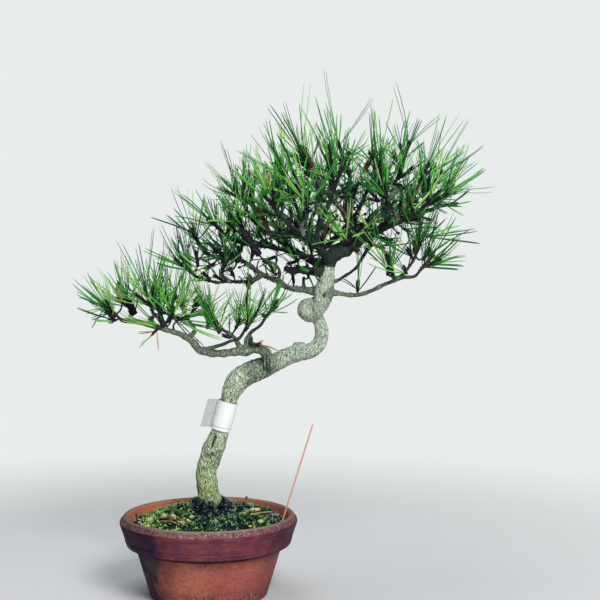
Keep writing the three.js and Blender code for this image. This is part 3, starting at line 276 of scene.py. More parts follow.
# Needles that lie close together: (root x, y, z, tip x, y, z, pairs, tone).
BUNDLES = [
    (141, -13, 314.5, 187.6, -12, 324.9, 6, 0.72), (-40, -19, 224.5, -73, -19, 231.5, 4, 0.95),
    (116.3, -17, 298, 88, -26, 327.3, 4, 0.9), (113, -17, 298, 95, -26, 330, 3, 0.8),
    (-16, -6, 272, -34, -12, 307, 3, 0.1), (-15, -6, 272, -26, -10, 305, 3, 0.15),
]
# Pale dead candles: (foot x, y, z, heading x, y, z, length).
HUSKS = [(53.4, -29, 341.5, -0.5, -0.1, 0.86, 15), (50, -27, 346, -0.2, -0.2, 0.95, 9),
         (-71.5, -17, 249, -0.3, -0.1, 0.95, 12)]

# Rings of a needle: the share of its length and of its girth at each, and the girth toward each of its sides.
NEEDLE_SHARES = np.array([0, 0.08, 0.3, 0.55, 0.78, 0.93, 1.0])
NEEDLE_GIRTH = np.array([0.75, 1, 1, 0.97, 0.88, 0.62, 0.1])
NEEDLE_ROUND = np.array([1, 0.8, 1, 0.35])

# ------------------------------------------------------------------ settings


def srgb(*seen):
    """A colour given as it is seen, from 0 to 255, as the linear values that shaders use."""
    shares = (tone / 255 for tone in seen)
    return tuple(v / 12.92 if v <= 0.04045 else ((v + 0.055) / 1.055) ** 2.4 for v in shares)


def colour(name, description, *seen):
    return FloatVectorProperty(name=name, description=description, subtype="COLOR", min=0, max=1,
                               default=srgb(*seen))


def length(name, description, millimetres):
    return FloatProperty(name=name, description=description, unit="LENGTH", min=0, precision=5,
                         default=millimetres * MM)


class PotSettings(bpy.types.PropertyGroup):
    """Sizes and colours of the clay pot."""

    wobble: length("Wobble", "How far the thrown wall strays from a true circle", 0.35)
    clay: colour("Clay", "Fired clay of the body", 188, 112, 90)
    clay_red: colour("Red clay", "Redder patches of the body", 162, 86, 76)
    band: colour("Band", "Darkened clay of the rim band", 96, 42, 62)
    bevel: colour("Bevel", "Worn slope above the band", 122, 84, 80)
    inside: colour("Inside", "Clay of the inner wall", 170, 104, 78)
    # The stain colour also darkens the left side of the body, where painted shade adds to the stains.
    stain: colour("Stain", "Damp at the foot", 32, 38, 52)
    # The shade colour serves as painted shade under the band and on both sides of the pot, and as the colour of
    # the soot and of the band's brushed streaks.
    shade: colour("Shade", "Soot dark clay under and on the band", 24, 5, 40)
    algae: colour("Algae", "Green growth on the inner wall", 96, 100, 62)
    lime: colour("Lime", "Lime left by dried water", 214, 204, 196)


class WoodSettings(bpy.types.PropertyGroup):
    """Sizes and colours of the trunk and the branches."""

    grain: length("Skin detail", "Edge length of the skin over the wood", 0.85)
    relief: length("Relief", "Depth of the cracks in the trunk's bark", 0.65)
    light: colour("Light bark", "Dry flakes of bark", 228, 240, 210)
    olive: colour("Olive bark", "Algae in the bark", 184, 206, 160)
    foot: colour("Foot bark", "Yellow green bark near the moss", 176, 198, 112)
    upper: colour("Upper bark", "Paler bark of the upper trunk", 202, 216, 196)
    bend: colour("Bend bark", "Damp bark where the long branch leaves", 108, 128, 114)
    crack: colour("Crack", "Depth of the bark's cracks", 44, 62, 46)
    branch: colour("Branch bark", "Bark of the thin branches", 128, 140, 116)
    grey: colour("Grey bark", "Dry grey bark inside the crown", 140, 132, 122)
    # Near black blue: painted shade, used for the thin twigs and for the wood inside the crown.
    twig: colour("Twig bark", "Bark of twigs and of wood inside the crown", 8, 26, 42)


class NeedleSettings(bpy.types.PropertyGroup):
    """Number, size and colours of the needles."""

    pairs: IntProperty(name="Pairs", description="Pairs of needles on each shoot", default=7, min=2, max=60)
    width: length("Half width", "Half the width of a needle", 0.53)
    deep: colour("Deep green", "Oldest and most shaded needles", 4, 62, 38)
    green: colour("Green", "Needles of full age", 26, 122, 48)
    fresh: colour("Fresh green", "Young needles", 90, 186, 58)
    pale: colour("Pale green", "Yellowing needles", 170, 210, 118)
    dry: colour("Dry", "Dead needles", 196, 152, 104)
    # Near black blue: purple black buds deepened with painted shade of the crown; the same colour serves the
    # stems and scales.
    bud: colour("Bud", "Scales of the winter buds", 10, 16, 44)
    candle: colour("Candle", "Scales of reddish candles", 116, 66, 54)
    husk: colour("Husk", "Pale dead candles", 226, 212, 128)


class MossSettings(bpy.types.PropertyGroup):
    """Number, size and colours of the moss and what lies on it."""

    sprigs: IntProperty(name="Sprigs", description="Little moss plants on the soil",
                        default=9000, min=100, max=9500)
    height: length("Sprig height", "Height of a moss plant above the carpet", 2.1)
    shade: colour("Shade", "Moss in the shadow of the trunk", 2, 8, 32)
    dusk: colour("Dusk", "Blue grey tips of the shaded moss", 150, 166, 152)
    deep: colour("Deep", "Older moss", 10, 42, 34)
    green: colour("Green", "Growing moss", 44, 108, 54)
    lime: colour("Lime", "Moss in full light", 128, 186, 72)
    pale: colour("Pale", "Dry tips", 204, 220, 160)


class StageSettings(bpy.types.PropertyGroup):
    """Floor, lights and camera."""

    floor: colour("Floor", "Pale floor", 208, 210, 211)
    backdrop: colour("Backdrop", "Light behind the object", 232, 236, 235)
    key: FloatProperty(name="Key light", description="Power of the large soft light",
                       unit="POWER", default=23, min=0)
    fill: FloatProperty(name="Fill", description="Strength of the light from all sides", default=0.32, min=0)


# ------------------------------------------------------------------ lines and meshes


def unit(vectors):
    """Vectors of length one, along the last axis."""
    vectors = np.asarray(vectors, float)
    return vectors / np.maximum(np.linalg.norm(vectors, axis=-1, keepdims=True), 1e-12)


def draw(i, j):
    """A fixed pseudo-random number from 0 to 1 for each pair of whole numbers."""
    value = math.sin(i * 12.9898 + j * 78.233) * 43758.5453
    return value - math.floor(value)


def about(axis, angle):
    """The matrix that turns a row of points about an axis."""
    return np.array(Matrix.Rotation(angle, 3, axis)).T


def uneven(points, size, seed=0):
    """Smooth noise from -1 to 1 at each point, with bumps about size millimetres wide."""
    shift = Vector((seed * 17.3, seed * 5.1, seed * 9.7))
    return np.array([noise.noise(Vector(p) + shift) for p in np.asarray(points) / size])


class Route:
    """A smooth line through given points (x, y, z, radius), measured along its length."""

    def __init__(self, rows):
        rows = np.asarray(rows, float)
        knots = rows[:, :3]
        self.radii = rows[:, 3]
        self.spans = len(knots) - 1
        self.knots = np.vstack([2 * knots[0] - knots[1], knots, 2 * knots[-1] - knots[-2]])
        self.fine = np.linspace(0, 1, 40 * self.spans + 1)
        steps = np.linalg.norm(np.diff(self.at(self.fine), axis=0), axis=1)
        self.lengths = np.concatenate([[0], np.cumsum(steps)])
        self.length = self.lengths[-1]

    def at(self, t):
        """Points at t from 0 to 1, on a centripetal Catmull-Rom curve."""
        place = np.clip(np.atleast_1d(t) * self.spans, 0, self.spans)
        first = np.minimum(place.astype(int), self.spans - 1)
        w = (place - first)[:, None]
        near = [self.knots[first + k] for k in range(4)]
        p0, p1, p2, p3 = near
        d0, d1, d2 = (np.sum((b - a) ** 2, axis=1, keepdims=True) ** 0.25 for a, b in zip(near, near[1:]))
        t1 = ((p1 - p0) / d0 - (p2 - p0) / (d0 + d1) + (p2 - p1) / d1) * d1
        t2 = ((p2 - p1) / d1 - (p3 - p1) / (d1 + d2) + (p3 - p2) / d2) * d1
        cube = 2 * p1 - 2 * p2 + t1 + t2
        return p1 + t1 * w + (3 * p2 - 3 * p1 - 2 * t1 - t2) * w**2 + cube * w**3

    def share(self, u):
        """The t at each share u of the length."""
        return np.interp(np.asarray(u) * self.length, self.lengths, self.fine)

    def radius(self, t):
        return np.interp(np.atleast_1d(t) * self.spans, np.arange(self.spans + 1), self.radii)

    def heading(self, t):
        t = np.atleast_1d(t)
        return unit(self.at(np.minimum(t + 1e-4, 1)) - self.at(np.maximum(t - 1e-4, 0)))

    def walk(self, count):
        """Points and radii at even steps from end to end."""
        t = self.share(np.linspace(0, 1, count))
        return self.at(t), self.radius(t)

    def spot(self, run):
        """The point, the heading and the radius some way along."""
        t = self.share(run / self.length)
        return self.at(t)[0], self.heading(t)[0], self.radius(t)[0]


def frames_along(centres):
    """Two directions across a line at each of its points, carried on without twist."""
    headings = unit(np.gradient(centres, axis=0))
    start = np.array([1.0, 0, 0]) if abs(headings[0][2]) > 0.8 else UP
    across = np.empty_like(centres)
    for i, heading in enumerate(headings):
        start = unit(start - heading * np.dot(start, heading))
        across[i] = start
    return across, np.cross(headings, across), headings


def angles_round(sides):
    return np.arange(sides) * 2 * math.pi / sides


def spokes(across, along, angles, reach=1):
    """Directions out from a line at each of its points, one for each angle."""
    out, aside = (np.cos(angles) * reach)[:, None], (np.sin(angles) * reach)[:, None]
    return out * across[:, None] + aside * along[:, None]


def spokes_round(heading, angles):
    """Directions across one heading, one for each angle."""
    across = unit(np.cross(heading, (0.3, 0.2, 1.0)))
    return spokes(across[None], np.cross(heading, across)[None], angles)[0]


def rings_of(radii, heights, sides):
    """Rings of points round the z axis, one for each radius and height."""
    radii, heights, angles = np.array(radii)[:, None], np.array(heights)[:, None], angles_round(sides)
    return np.stack([radii * np.cos(angles), radii * np.sin(angles), heights + 0 * angles], axis=2)


def grid_faces(rings, sides, closed=False):
    """Quads between neighbouring rings of points. Closed, the last ring joins the first."""
    faces = []
    for ring in range(rings if closed else rings - 1):
        low, high = ring * sides, ((ring + 1) % rings) * sides
        for side in range(sides):
            after = (side + 1) % sides
            faces.append((low + side, low + after, high + after, high + side))
    return faces


def capped_faces(rings, sides):
    """Quads between rings of points, and a fan at each end to the two points that follow them."""
    last, start, end = (rings - 1) * sides, rings * sides, rings * sides + 1
    faces = grid_faces(rings, sides)
    for side in range(sides):
        after = (side + 1) % sides
        faces += [(start, after, side), (end, last + side, last + after)]
    return faces


def tube(centres, radii, sides, dome=0.4):
    """A closed round skin. radii holds one value for each centre, or a row with one for each side."""
    centres, radii = np.asarray(centres, float), np.asarray(radii, float)
    radii = radii if radii.ndim == 2 else np.repeat(radii[:, None], sides, axis=1)
    across, along, headings = frames_along(centres)
    rings = centres[:, None] + radii[:, :, None] * spokes(across, along, angles_round(sides))
    start, end = (centres[i] + way * headings[i] * radii[i].mean() * dome for i, way in ((0, -1), (-1, 1)))
    return np.vstack([rings.reshape(-1, 3), start, end]), capped_faces(len(centres), sides)


def spikes(roots, headings, lengths, radii):
    """Closed three-sided spikes: the smallest leaves. radii is one number, or one for each."""
    across = unit(np.cross(headings, headings[:, [1, 2, 0]] + 0.31))
    sides = spokes(across, np.cross(headings, across), angles_round(3))
    rim = roots[:, None] + np.reshape(radii, (-1, 1, 1)) * sides
    points = np.concatenate([rim, (roots + headings * lengths[:, None])[:, None]], axis=1)
    return points.reshape(-1, 3), repeated([(0, 1, 3), (1, 2, 3), (2, 0, 3), (0, 2, 1)], 4, len(roots))


def repeated(faces, points, count):
    """The faces of one form with so many points, repeated for a row of such forms."""
    faces = np.array(faces)
    return (faces[None] + points * np.arange(count)[:, None, None]).reshape(-1, faces.shape[1]).tolist()


def mark(mesh, **values):
    """Gives the points of a mesh the named values that colour it."""
    for name, value in values.items():
        mesh.attributes.new(name, "FLOAT", "POINT").data.foreach_set("value", value.astype(np.float32))


def places_of(mesh):
    """The points of a mesh, in millimetres."""
    places = np.empty(len(mesh.vertices) * 3)
    mesh.vertices.foreach_get("co", places)
    return places.reshape(-1, 3) / MM


def nearest(points):
    """Finds the number of the point that is nearest to a place."""
    tree = kdtree.KDTree(len(points))
    for i, point in enumerate(points):
        tree.insert(point, i)
    tree.balance()
    return lambda place: tree.find(place)[1]


def placed(name, data):
    """A new object in the scene."""
    made = bpy.data.objects.new(name, data)
    bpy.context.scene.collection.objects.link(made)
    return made


def finished(name, mesh, finishes, slot, nodes=(), smooth=True):
    """Puts a mesh in the scene as a piece of the object, in place of the named nodes."""
    made = placed(name, mesh)
    for finish in finishes:
        mesh.materials.append(finish)
    if smooth:
        mesh.shade_smooth()
    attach(made, BODY)
    if nodes:
        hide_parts(*nodes)


def settled(mesh, steps):
    """A copy of the mesh after modifiers, each given as its kind and its settings."""
    helper = placed("helper", mesh)
    for kind, settings in steps:
        modifier = helper.modifiers.new(kind, kind)
        for key, value in settings.items():
            setattr(modifier, key, value)
    bpy.context.view_layer.update()
    result = bpy.data.meshes.new_from_object(helper.evaluated_get(bpy.context.evaluated_depsgraph_get()))
    bpy.data.objects.remove(helper)
    return result


class Shell:
    """The parts of one piece's mesh, in millimetres, with the values that colour it."""

    def __init__(self):
        self.points, self.faces, self.paints, self.values, self.count = [], [], [], {}, 0

    def add(self, points, faces, paint=0, **values):
        """Adds points, the faces over them, the material's place and a value for each point."""
        points = np.asarray(points, float).reshape(-1, 3)
        self.points.append(points)
        self.faces += [tuple(i + self.count for i in face) for face in faces]
        self.paints += [paint] * len(faces)
        for name, value in values.items():
            self.values.setdefault(name, []).append((slice(self.count, self.count + len(points)), value))
        self.count += len(points)

    def mesh(self, name):
        mesh = bpy.data.meshes.new(name)
        mesh.from_pydata(np.vstack(self.points) * MM, [], self.faces)
        mesh.polygons.foreach_set("material_index", np.array(self.paints, np.int32))
        for key, rows in self.values.items():
            whole = np.zeros(self.count)
            for part, value in rows:
                whole[part] = value
            mark(mesh, **{key: whole})
        return mesh

    def piece(self, name, finishes, slot, nodes=(), smooth=True):
        finished(name, self.mesh(name), finishes, slot, nodes, smooth)


# ------------------------------------------------------------------ materials


def sign(operation):
    """What a sign between two signals does."""
    return lambda self, other: self.graph.maths(operation, self, other)


class Signal:
    """What a node puts out. As a mask it takes the signs: * both, | the larger, ~ all but."""

    __add__, __sub__, __mul__ = sign("ADD"), sign("SUBTRACT"), sign("MULTIPLY")
    __truediv__, __or__ = sign("DIVIDE"), sign("MAXIMUM")

    def __init__(self, graph, socket):
        self.graph, self.socket = graph, socket

    def __invert__(self):
        return self.graph.maths("SUBTRACT", 1, self)

    def span(self, low, high):
        """From 0 at low to 1 at high, with a soft start and end."""
        inputs = {"Value": self, "From Min": low, "From Max": high}
        return self.graph.node("MapRange", inputs, interpolation_type="SMOOTHSTEP")

    def ramp(self, *stops):
        """A colour for each value, by stops (value, colour)."""
        made = self.graph.node("ValToRGB", {"Fac": self})
        elements = made.socket.node.color_ramp.elements
        while len(elements) < len(stops):
            elements.new(0.5)
        for element, (position, tone) in zip(elements, stops):
            element.position, element.color = position, (*tone, 1)
        return made


class Graph:
    """Short ways to add and join the nodes of a material or of an effect."""

    def __init__(self, tree, place=None):
        self.tree, self.place = tree, place and Signal(self, place)

    def feed(self, socket, value):
        if isinstance(value, Signal):
            self.tree.links.new(value.socket, socket)
        else:
            socket.default_value = (*value, 1) if socket.type == "RGBA" and len(value) == 3 else value

    def node(self, kind, inputs=(), output=0, **settings):
        """What a new node of this kind puts out."""
        made = self.tree.nodes.new("ShaderNode" + kind)
        for key, value in settings.items():
            setattr(made, key, value)
        for key, value in dict(inputs).items():
            self.feed(made.inputs[key], value)
        return Signal(self, made.outputs[output])

    def maths(self, operation, first, second=0):
        return self.node("Math", {0: first, 1: second}, operation=operation)

    def axis(self, name):
        """The place on the object along one axis, in metres."""
        return self.node("SeparateXYZ", {"Vector": self.place}, name)

    def value(self, name):
        """A value that the mesh holds for each of its points."""
        return self.node("Attribute", output="Fac", attribute_name=name)

    def stretched(self, *scale):
        return self.node("Mapping", {"Vector": self.place, "Scale": scale})

    def noise(self, scale, detail=2, vector=None):
        return self.node("TexNoise", {"Vector": vector or self.place, "Scale": scale, "Detail": detail})

    def effect(self, name, *numbers, vector=None):
        """Places one of the shared effects, which is built when it is first used."""
        tree = bpy.data.node_groups.get(name) or new_effect(name)
        inputs = {"Vector": vector or self.place, **dict(zip(EFFECTS[name][1], numbers))}
        return self.node("Group", inputs, node_tree=tree)

    def patches(self, scale, level, softness, vector=None):
        return self.effect("patches", scale, level, softness, vector=vector)

    def layers(self, tone, *layers):
        """A colour under further ones, each given as its share and its colour."""
        for share, over in layers:
            tone = self.node("Mix", {0: share, 6: tone, 7: over}, 2, data_type="RGBA")
        return tone


class Finish(Graph):
    """A material with one Principled shader."""

    def __init__(self, name, roughness=0.6, specular=0.5):
        self.material = bpy.data.materials.new(name)
        self.material.use_nodes = True
        super().__init__(self.material.node_tree)
        self.place = self.node("TexCoord", output="Object")
        self.shader = self.tree.nodes["Principled BSDF"]
        self.shader.inputs["Roughness"].default_value = roughness
        self.shader.inputs["Specular IOR Level"].default_value = specular

    def coat(self, tone, height=None, depth=0.0, roughness=None):
        """Sets the colour, and a relief of the given depth in metres."""
        self.feed(self.shader.inputs["Base Color"], tone)
        if height:
            bump = self.node("Bump", {"Height": height, "Distance": depth, "Strength": 1.0})
            self.feed(self.shader.inputs["Normal"], bump)
        if roughness:
            self.feed(self.shader.inputs["Roughness"], roughness)
        return self.material


def new_effect(name):
    """A shared effect as a group, with a Vector and its numbers as inputs and one Mask as output."""
    build, numbers = EFFECTS[name]
    tree = bpy.data.node_groups.new(name, "ShaderNodeTree")
    tree.interface.new_socket("Vector", in_out="INPUT", socket_type="NodeSocketVector")
    for key, value in numbers.items():
        tree.interface.new_socket(key, in_out="INPUT", socket_type="NodeSocketFloat").default_value = value
    tree.interface.new_socket("Mask", in_out="OUTPUT", socket_type="NodeSocketFloat")
    ins, outs = tree.nodes.new("NodeGroupInput").outputs, tree.nodes.new("NodeGroupOutput").inputs
    graph = Graph(tree, ins["Vector"])
    graph.feed(outs["Mask"], build(graph, *(Signal(graph, ins[key]) for key in numbers)))
    return tree


def specks(graph, scale, size):
    """Small round spots, strewn at random."""
    spot = graph.node("TexVoronoi", {"Vector": graph.place, "Scale": scale}, "Distance")
    return ~(spot / size).span(0.6, 1)


def cracks(graph, scale, width):
    """A net of fine cracks between flakes."""
    shake = graph.node("TexNoise", {"Vector": graph.place, "Scale": scale}, "Color")
    bend = graph.node("VectorMath", {0: shake, 1: (0.002, 0.002, 0.002)}, operation="MULTIPLY")
    moved = graph.node("VectorMath", {0: graph.place, 1: bend}, operation="ADD")
    near = graph.node("TexVoronoi", {"Vector": moved, "Scale": scale}, "Distance", feature="DISTANCE_TO_EDGE")
    return ~(near / width).span(0.2, 1)


def patches(graph, scale, level, softness):
    """Soft-edged patches, such as stains, wear and growth."""
    return graph.noise(scale, 5).span(level - softness, level + softness)


EFFECTS = {
    "specks": (specks, {"Scale": 500.0, "Size": 0.25}), "cracks": (cracks, {"Scale": 400.0, "Width": 0.1}),
    "patches": (patches, {"Scale": 60.0, "Level": 0.5, "Softness": 0.1}),
}


def clay_finish(look):
    """Weathered clay: dark band, worn bevel with lime, orange inner wall, stains at the foot, soot on the left
    and painted shade on both sides.
    """
    clay = Finish("weathered clay", roughness=0.82, specular=0.16)
    x, bevel = clay.axis("X"), clay.value("bevel")
    # Left side: soot, darkened further as painted shade where the pot turns from the light.
    soot_and_side_shade = (x + (clay.noise(45, 5) - 0.5) * 0.05).span(-0.026, -0.05)
    bare = ~(bevel * 0.55)
    flakes = clay.patches(420, 0.735, 0.04) * clay.patches(44, 0.63, 0.05) * x.span(0.05, 0.02)
    # The right side gets painted shade where the pot turns from the light.
    tone = clay.layers(
        clay_body(clay, look), (clay.value("band"), clay_band(clay, look)), (bevel, clay_bevel(clay, look)),
        (soot_and_side_shade * bare * 0.92, look.shade), (x.span(0.036, 0.066) * bare * 0.5, look.shade),
        (clay.value("inside"), clay_inside(clay, look)), (flakes * clay.value("ridge") * 0.8, look.lime))
    grit = clay.noise(900, 4) + clay.noise(700, vector=clay.stretched(0.05, 0.05, 1)) * 0.6
    return clay.coat(tone, grit, 0.0004, clay.noise(80, 3).span(-0.6, 1.2))


def clay_body(clay, look):
    """Orange clay with a painted shadow line under the band, streaks below it, damp stains at the foot and
    stains on the left that painted shade darkens further.
    """
    x, z, drawn = clay.axis("X"), clay.axis("Z"), clay.stretched(1, 1, 0.14)
    scratches = clay.patches(620, 0.51, 0.08, drawn)
    under = z.span(0.031, 0.04) * scratches * clay.patches(55, 0.5, 0.1) * 0.6
    foot = z.span(0.021, 0.002) * (scratches + 0.15)
    # Left side: stains in patches, and a smooth painted shade toward the edge.
    left = x.span(-0.02, -0.04) * (clay.patches(120, 0.44, 0.16, drawn) + x.span(-0.036, -0.052))
    salt = clay.patches(700, 0.7, 0.05) * clay.patches(38, 0.5, 0.1)
    return clay.layers(
        look.clay, (clay.patches(26, 0.5, 0.18), look.clay_red),
        (clay.patches(420, 0.5, 0.12) * 0.3, look.band), (salt * 0.4, look.lime),
        (clay.maths("MINIMUM", under | foot | left, 1) * 0.8, look.stain),
        # Painted shadow under the band's overhang.
        (z.span(0.0392, 0.0412) * 0.95, look.shade))


def clay_band(clay, look):
    """Purple red band, brushed round."""
    brushed = clay.patches(520, 0.55, 0.12, clay.stretched(0.2, 0.2, 1))
    return clay.layers(
        look.band, (clay.patches(90, 0.52, 0.2) * 0.4, look.clay_red), (brushed * 0.35, look.shade),
        (clay.patches(620, 0.58, 0.06) * 0.28, look.bevel))


def clay_bevel(clay, look):
    """Worn grey brown slope between the ridge and the crest."""
    return clay.layers(
        look.bevel, (clay.patches(260, 0.5, 0.12) * 0.75, look.band),
        (clay.patches(560, 0.6, 0.05) * 0.3, look.lime),
        (clay.axis("Z").span(0.0662, 0.0676) * 0.6, srgb(140, 130, 104)))


def clay_inside(clay, look):
    """Inner wall: orange to the left, brown to the right, green at the lip and above the moss."""
    z = clay.axis("Z")
    algae = (z.span(0.0655, 0.0675) | z.span(0.063, 0.06)) * clay.patches(150, 0.5, 0.12)
    return clay.layers(
        look.inside, (clay.patches(60, 0.5, 0.2) * 0.6, look.clay_red),
        (clay.axis("X").span(0, 0.05) * 0.55, srgb(136, 76, 66)), (algae * 0.6, look.algae))


def bark_finish(look):
    """Grey green flaking bark, pale above; painted shade darkens the twigs and the wood inside the crown, and
    deepens the darker bark in the cracks and grooves.
    """
    bark = Finish("pine bark", roughness=0.88, specular=0.15)
    x, z, girth, hidden = bark.axis("X"), bark.axis("Z"), bark.value("girth"), bark.value("hidden")
    upright = bark.stretched(1, 1, 0.5)
    bend = x.span(0.026, 0.038) * x.span(0.064, 0.052)
    rough = bark.noise(430, 4, upright).span(0.54, 0.4)
    net = bark.effect("cracks", 420, 0.13, vector=upright)
    fleck = bark.patches(700, 0.58, 0.05, upright) * (z.span(0.232, 0.2) * 0.42 + 0.5)
    flakes = bark.patches(560, 0.62, 0.07, upright) * girth.span(0.2, 0.6) * 0.6
    tone = bark.layers(
        look.light, (bark.patches(110, 0.5, 0.14), look.olive), (z.span(0.12, 0.15) * 0.45, look.light),
        (z.span(0.125, 0.08) * 0.75, look.foot), (z.span(0.187, 0.196) * 0.8, look.upper),
        (bend * 0.75, look.bend), (girth.span(0.55, 0.3) * 0.9, look.branch),
        # Painted shade: thin twigs and the wood inside the crown take the twig colour.
        (girth.span(0.22, 0.14) * 0.85 | hidden * 0.92, look.twig),
        # The crack colour also holds painted shade in the cracks and grooves.
        (bark.value("dry"), look.grey), (rough * 0.34 | fleck | net * 0.5 | bark.value("hollow"), look.crack),
        (flakes * ~hidden, look.light), (bark.value("knob"), srgb(180, 174, 156)))
    return bark.coat(tone, bark.noise(600, 4) - net * 0.5, 0.0011)


def needle_finish(look, name="pine needles"):
    """Satin needles from blue green to yellow green, brown at the sheath and at the very tip."""
    needles = Finish(name, roughness=0.45, specular=0.35)
    reach = needles.value("reach")
    tint = needles.value("tint") + (needles.noise(60) - 0.5) * 0.3
    tone = tint.ramp((0, look.deep), (0.38, look.green), (0.72, look.fresh), (1, look.pale))
    return needles.coat(needles.layers(
        tone, (reach.span(0.07, 0.02), srgb(122, 104, 66)), (reach.span(0.93, 1) * 0.6, srgb(130, 118, 60))))


def dry_finish(look):
    """Dead needles, straw coloured to rusty."""
    dry = Finish("dry needles", roughness=0.6, specular=0.3)
    tone = dry.value("tint").ramp((0, srgb(146, 84, 54)), (0.5, look.dry), (1, srgb(222, 196, 150)))
    return dry.coat(dry.layers(tone, (dry.noise(300, 3) * 0.5, srgb(120, 80, 52))))


def bud_finish(look):
    """Scaly buds, from purple black to reddish brown."""
    bud = Finish("bud scales", roughness=0.6, specular=0.2)
    scales = bud.effect("cracks", 900, 0.2)
    return bud.coat(bud.layers(
        look.bud, (bud.value("warm"), look.candle), (bud.value("husk"), look.husk),
        (scales * 0.6, srgb(24, 18, 22)),
        (bud.effect("specks", 1100, 0.3) * 0.3, srgb(190, 176, 160))), scales, 0.0002)


def moss_finish(look):
    """Moss: blue black painted shade with grey tips by the trunk, lime in the light, uneven everywhere."""
    moss = Finish("living moss", roughness=0.85, specular=0.2)
    level = moss.value("tone") + (moss.noise(110, 3) - 0.5) * 0.5
    lit = level.ramp((0, look.shade), (0.28, look.deep), (0.56, look.green), (0.8, look.lime), (1, look.pale))
    # dim: the ramp of the painted shade, blue black to grey blue tips.
    dim = level.ramp((0, look.shade), (0.26, srgb(8, 26, 52)), (0.5, srgb(32, 62, 66)), (0.76, look.dusk))
    return moss.coat(moss.layers(lit, (moss.value("dusk"), dim)), moss.noise(1500, 3), 0.0004)


def soil_finish():
    """Crumbly brown soil with pale grit."""
    soil = Finish("potting soil", roughness=0.95, specular=0.1)
    tone = soil.noise(320, 5).ramp((0.3, srgb(38, 28, 20)), (0.7, srgb(92, 72, 52)))
    tone = soil.layers(tone, (soil.effect("specks", 300, 0.22), srgb(168, 156, 132)))
    return soil.coat(tone, soil.noise(500, 5), 0.001)


def screen_finish():
    """Moulded black mesh with a dusting of soil."""
    screen = Finish("drain mesh", roughness=0.55, specular=0.4)
    tone = screen.layers(srgb(30, 32, 34), (screen.patches(200, 0.55, 0.1), srgb(88, 72, 56)))
    return screen.coat(tone, screen.noise(600, 3), 0.0002)


def stone_finish():
    """Weathered stones, each with its own tone."""
    stone = Finish("pebbles", roughness=0.8, specular=0.3)
    tone = stone.value("tone").ramp(
        (0, srgb(98, 108, 100)), (0.3, srgb(140, 150, 136)), (0.6, srgb(178, 186, 146)),
        (0.85, srgb(236, 222, 186)), (1, srgb(224, 212, 132)))
    tone = stone.layers(tone, (stone.noise(700, 5) * 0.6, srgb(84, 84, 66)))
    return stone.coat(tone, stone.noise(1200, 4), 0.0003)


def band_finish():
    """Smooth white tape, a little soiled, with painted shadow lines along the edges of its turns."""
    tape = Finish("white tape", roughness=0.38)
    return tape.coat(tape.layers(
        srgb(246, 247, 248), (tape.patches(130, 0.62, 0.12) * 0.25, srgb(206, 208, 202)),
        # edge: the painted shadow lines.
        (tape.value("edge"), srgb(150, 158, 176))), tape.noise(200), 0.0001)


def tail_finish():
    """The tape's loose end: thin enough for light to come through."""
    tail = Finish("clear tape", roughness=0.3)
    cloud = tail.noise(160, 3)
    tail.feed(tail.shader.inputs["Alpha"], cloud * 0.2 + 0.6)
    return tail.coat(tail.layers(srgb(192, 197, 193), (cloud, srgb(212, 217, 213))), cloud, 0.0001)


def grained_finish(name, roughness, specular, stretch, scale, detail, dark, light, depth):
    """Thin wood with a fine grain along it. dark and light are stops (value, colour)."""
    wood = Finish(name, roughness, specular)
    grain = wood.noise(scale, detail, wood.stretched(1, 1, stretch))
    return wood.coat(grain.ramp(dark, light), grain, depth)


# ------------------------------------------------------------------ pot


def rounded(corners):
    """Corners (radius, height, rounding) as a close row of points, with an arc at each corner."""
    rows = np.array([c[:2] for c in corners], float)
    path = []
    for before, corner, after, (_, _, rounding) in zip(rows, rows[1:], rows[2:], corners[1:-1]):
        back, ahead = before - corner, after - corner
        reach = min(rounding, np.linalg.norm(back) / 2, np.linalg.norm(ahead) / 2)
        a, b = corner + unit(back) * reach, corner + unit(ahead) * reach
        path += [(1 - t) ** 2 * a + 2 * t * (1 - t) * corner + t**2 * b for t in np.linspace(0, 1, 6)]
    dense = [rows[0]]
    for point in [*path, rows[-1]]:
        start, pieces = dense[-1], max(1, math.ceil(np.linalg.norm(point - dense[-1]) / 1.6))
        dense += [start + (point - start) * (i + 1) / pieces for i in range(pieces)]
    return np.array(dense)


def wall_inside(z):
    """Radius of the pot's inner wall at a height."""
    heights = [POT.floor + 3, POT.band_foot, POT.rim_height - 5]
    return np.interp(z, heights, [POT.floor_radius + 1.5, POT.body_inside, POT.wall_inside])


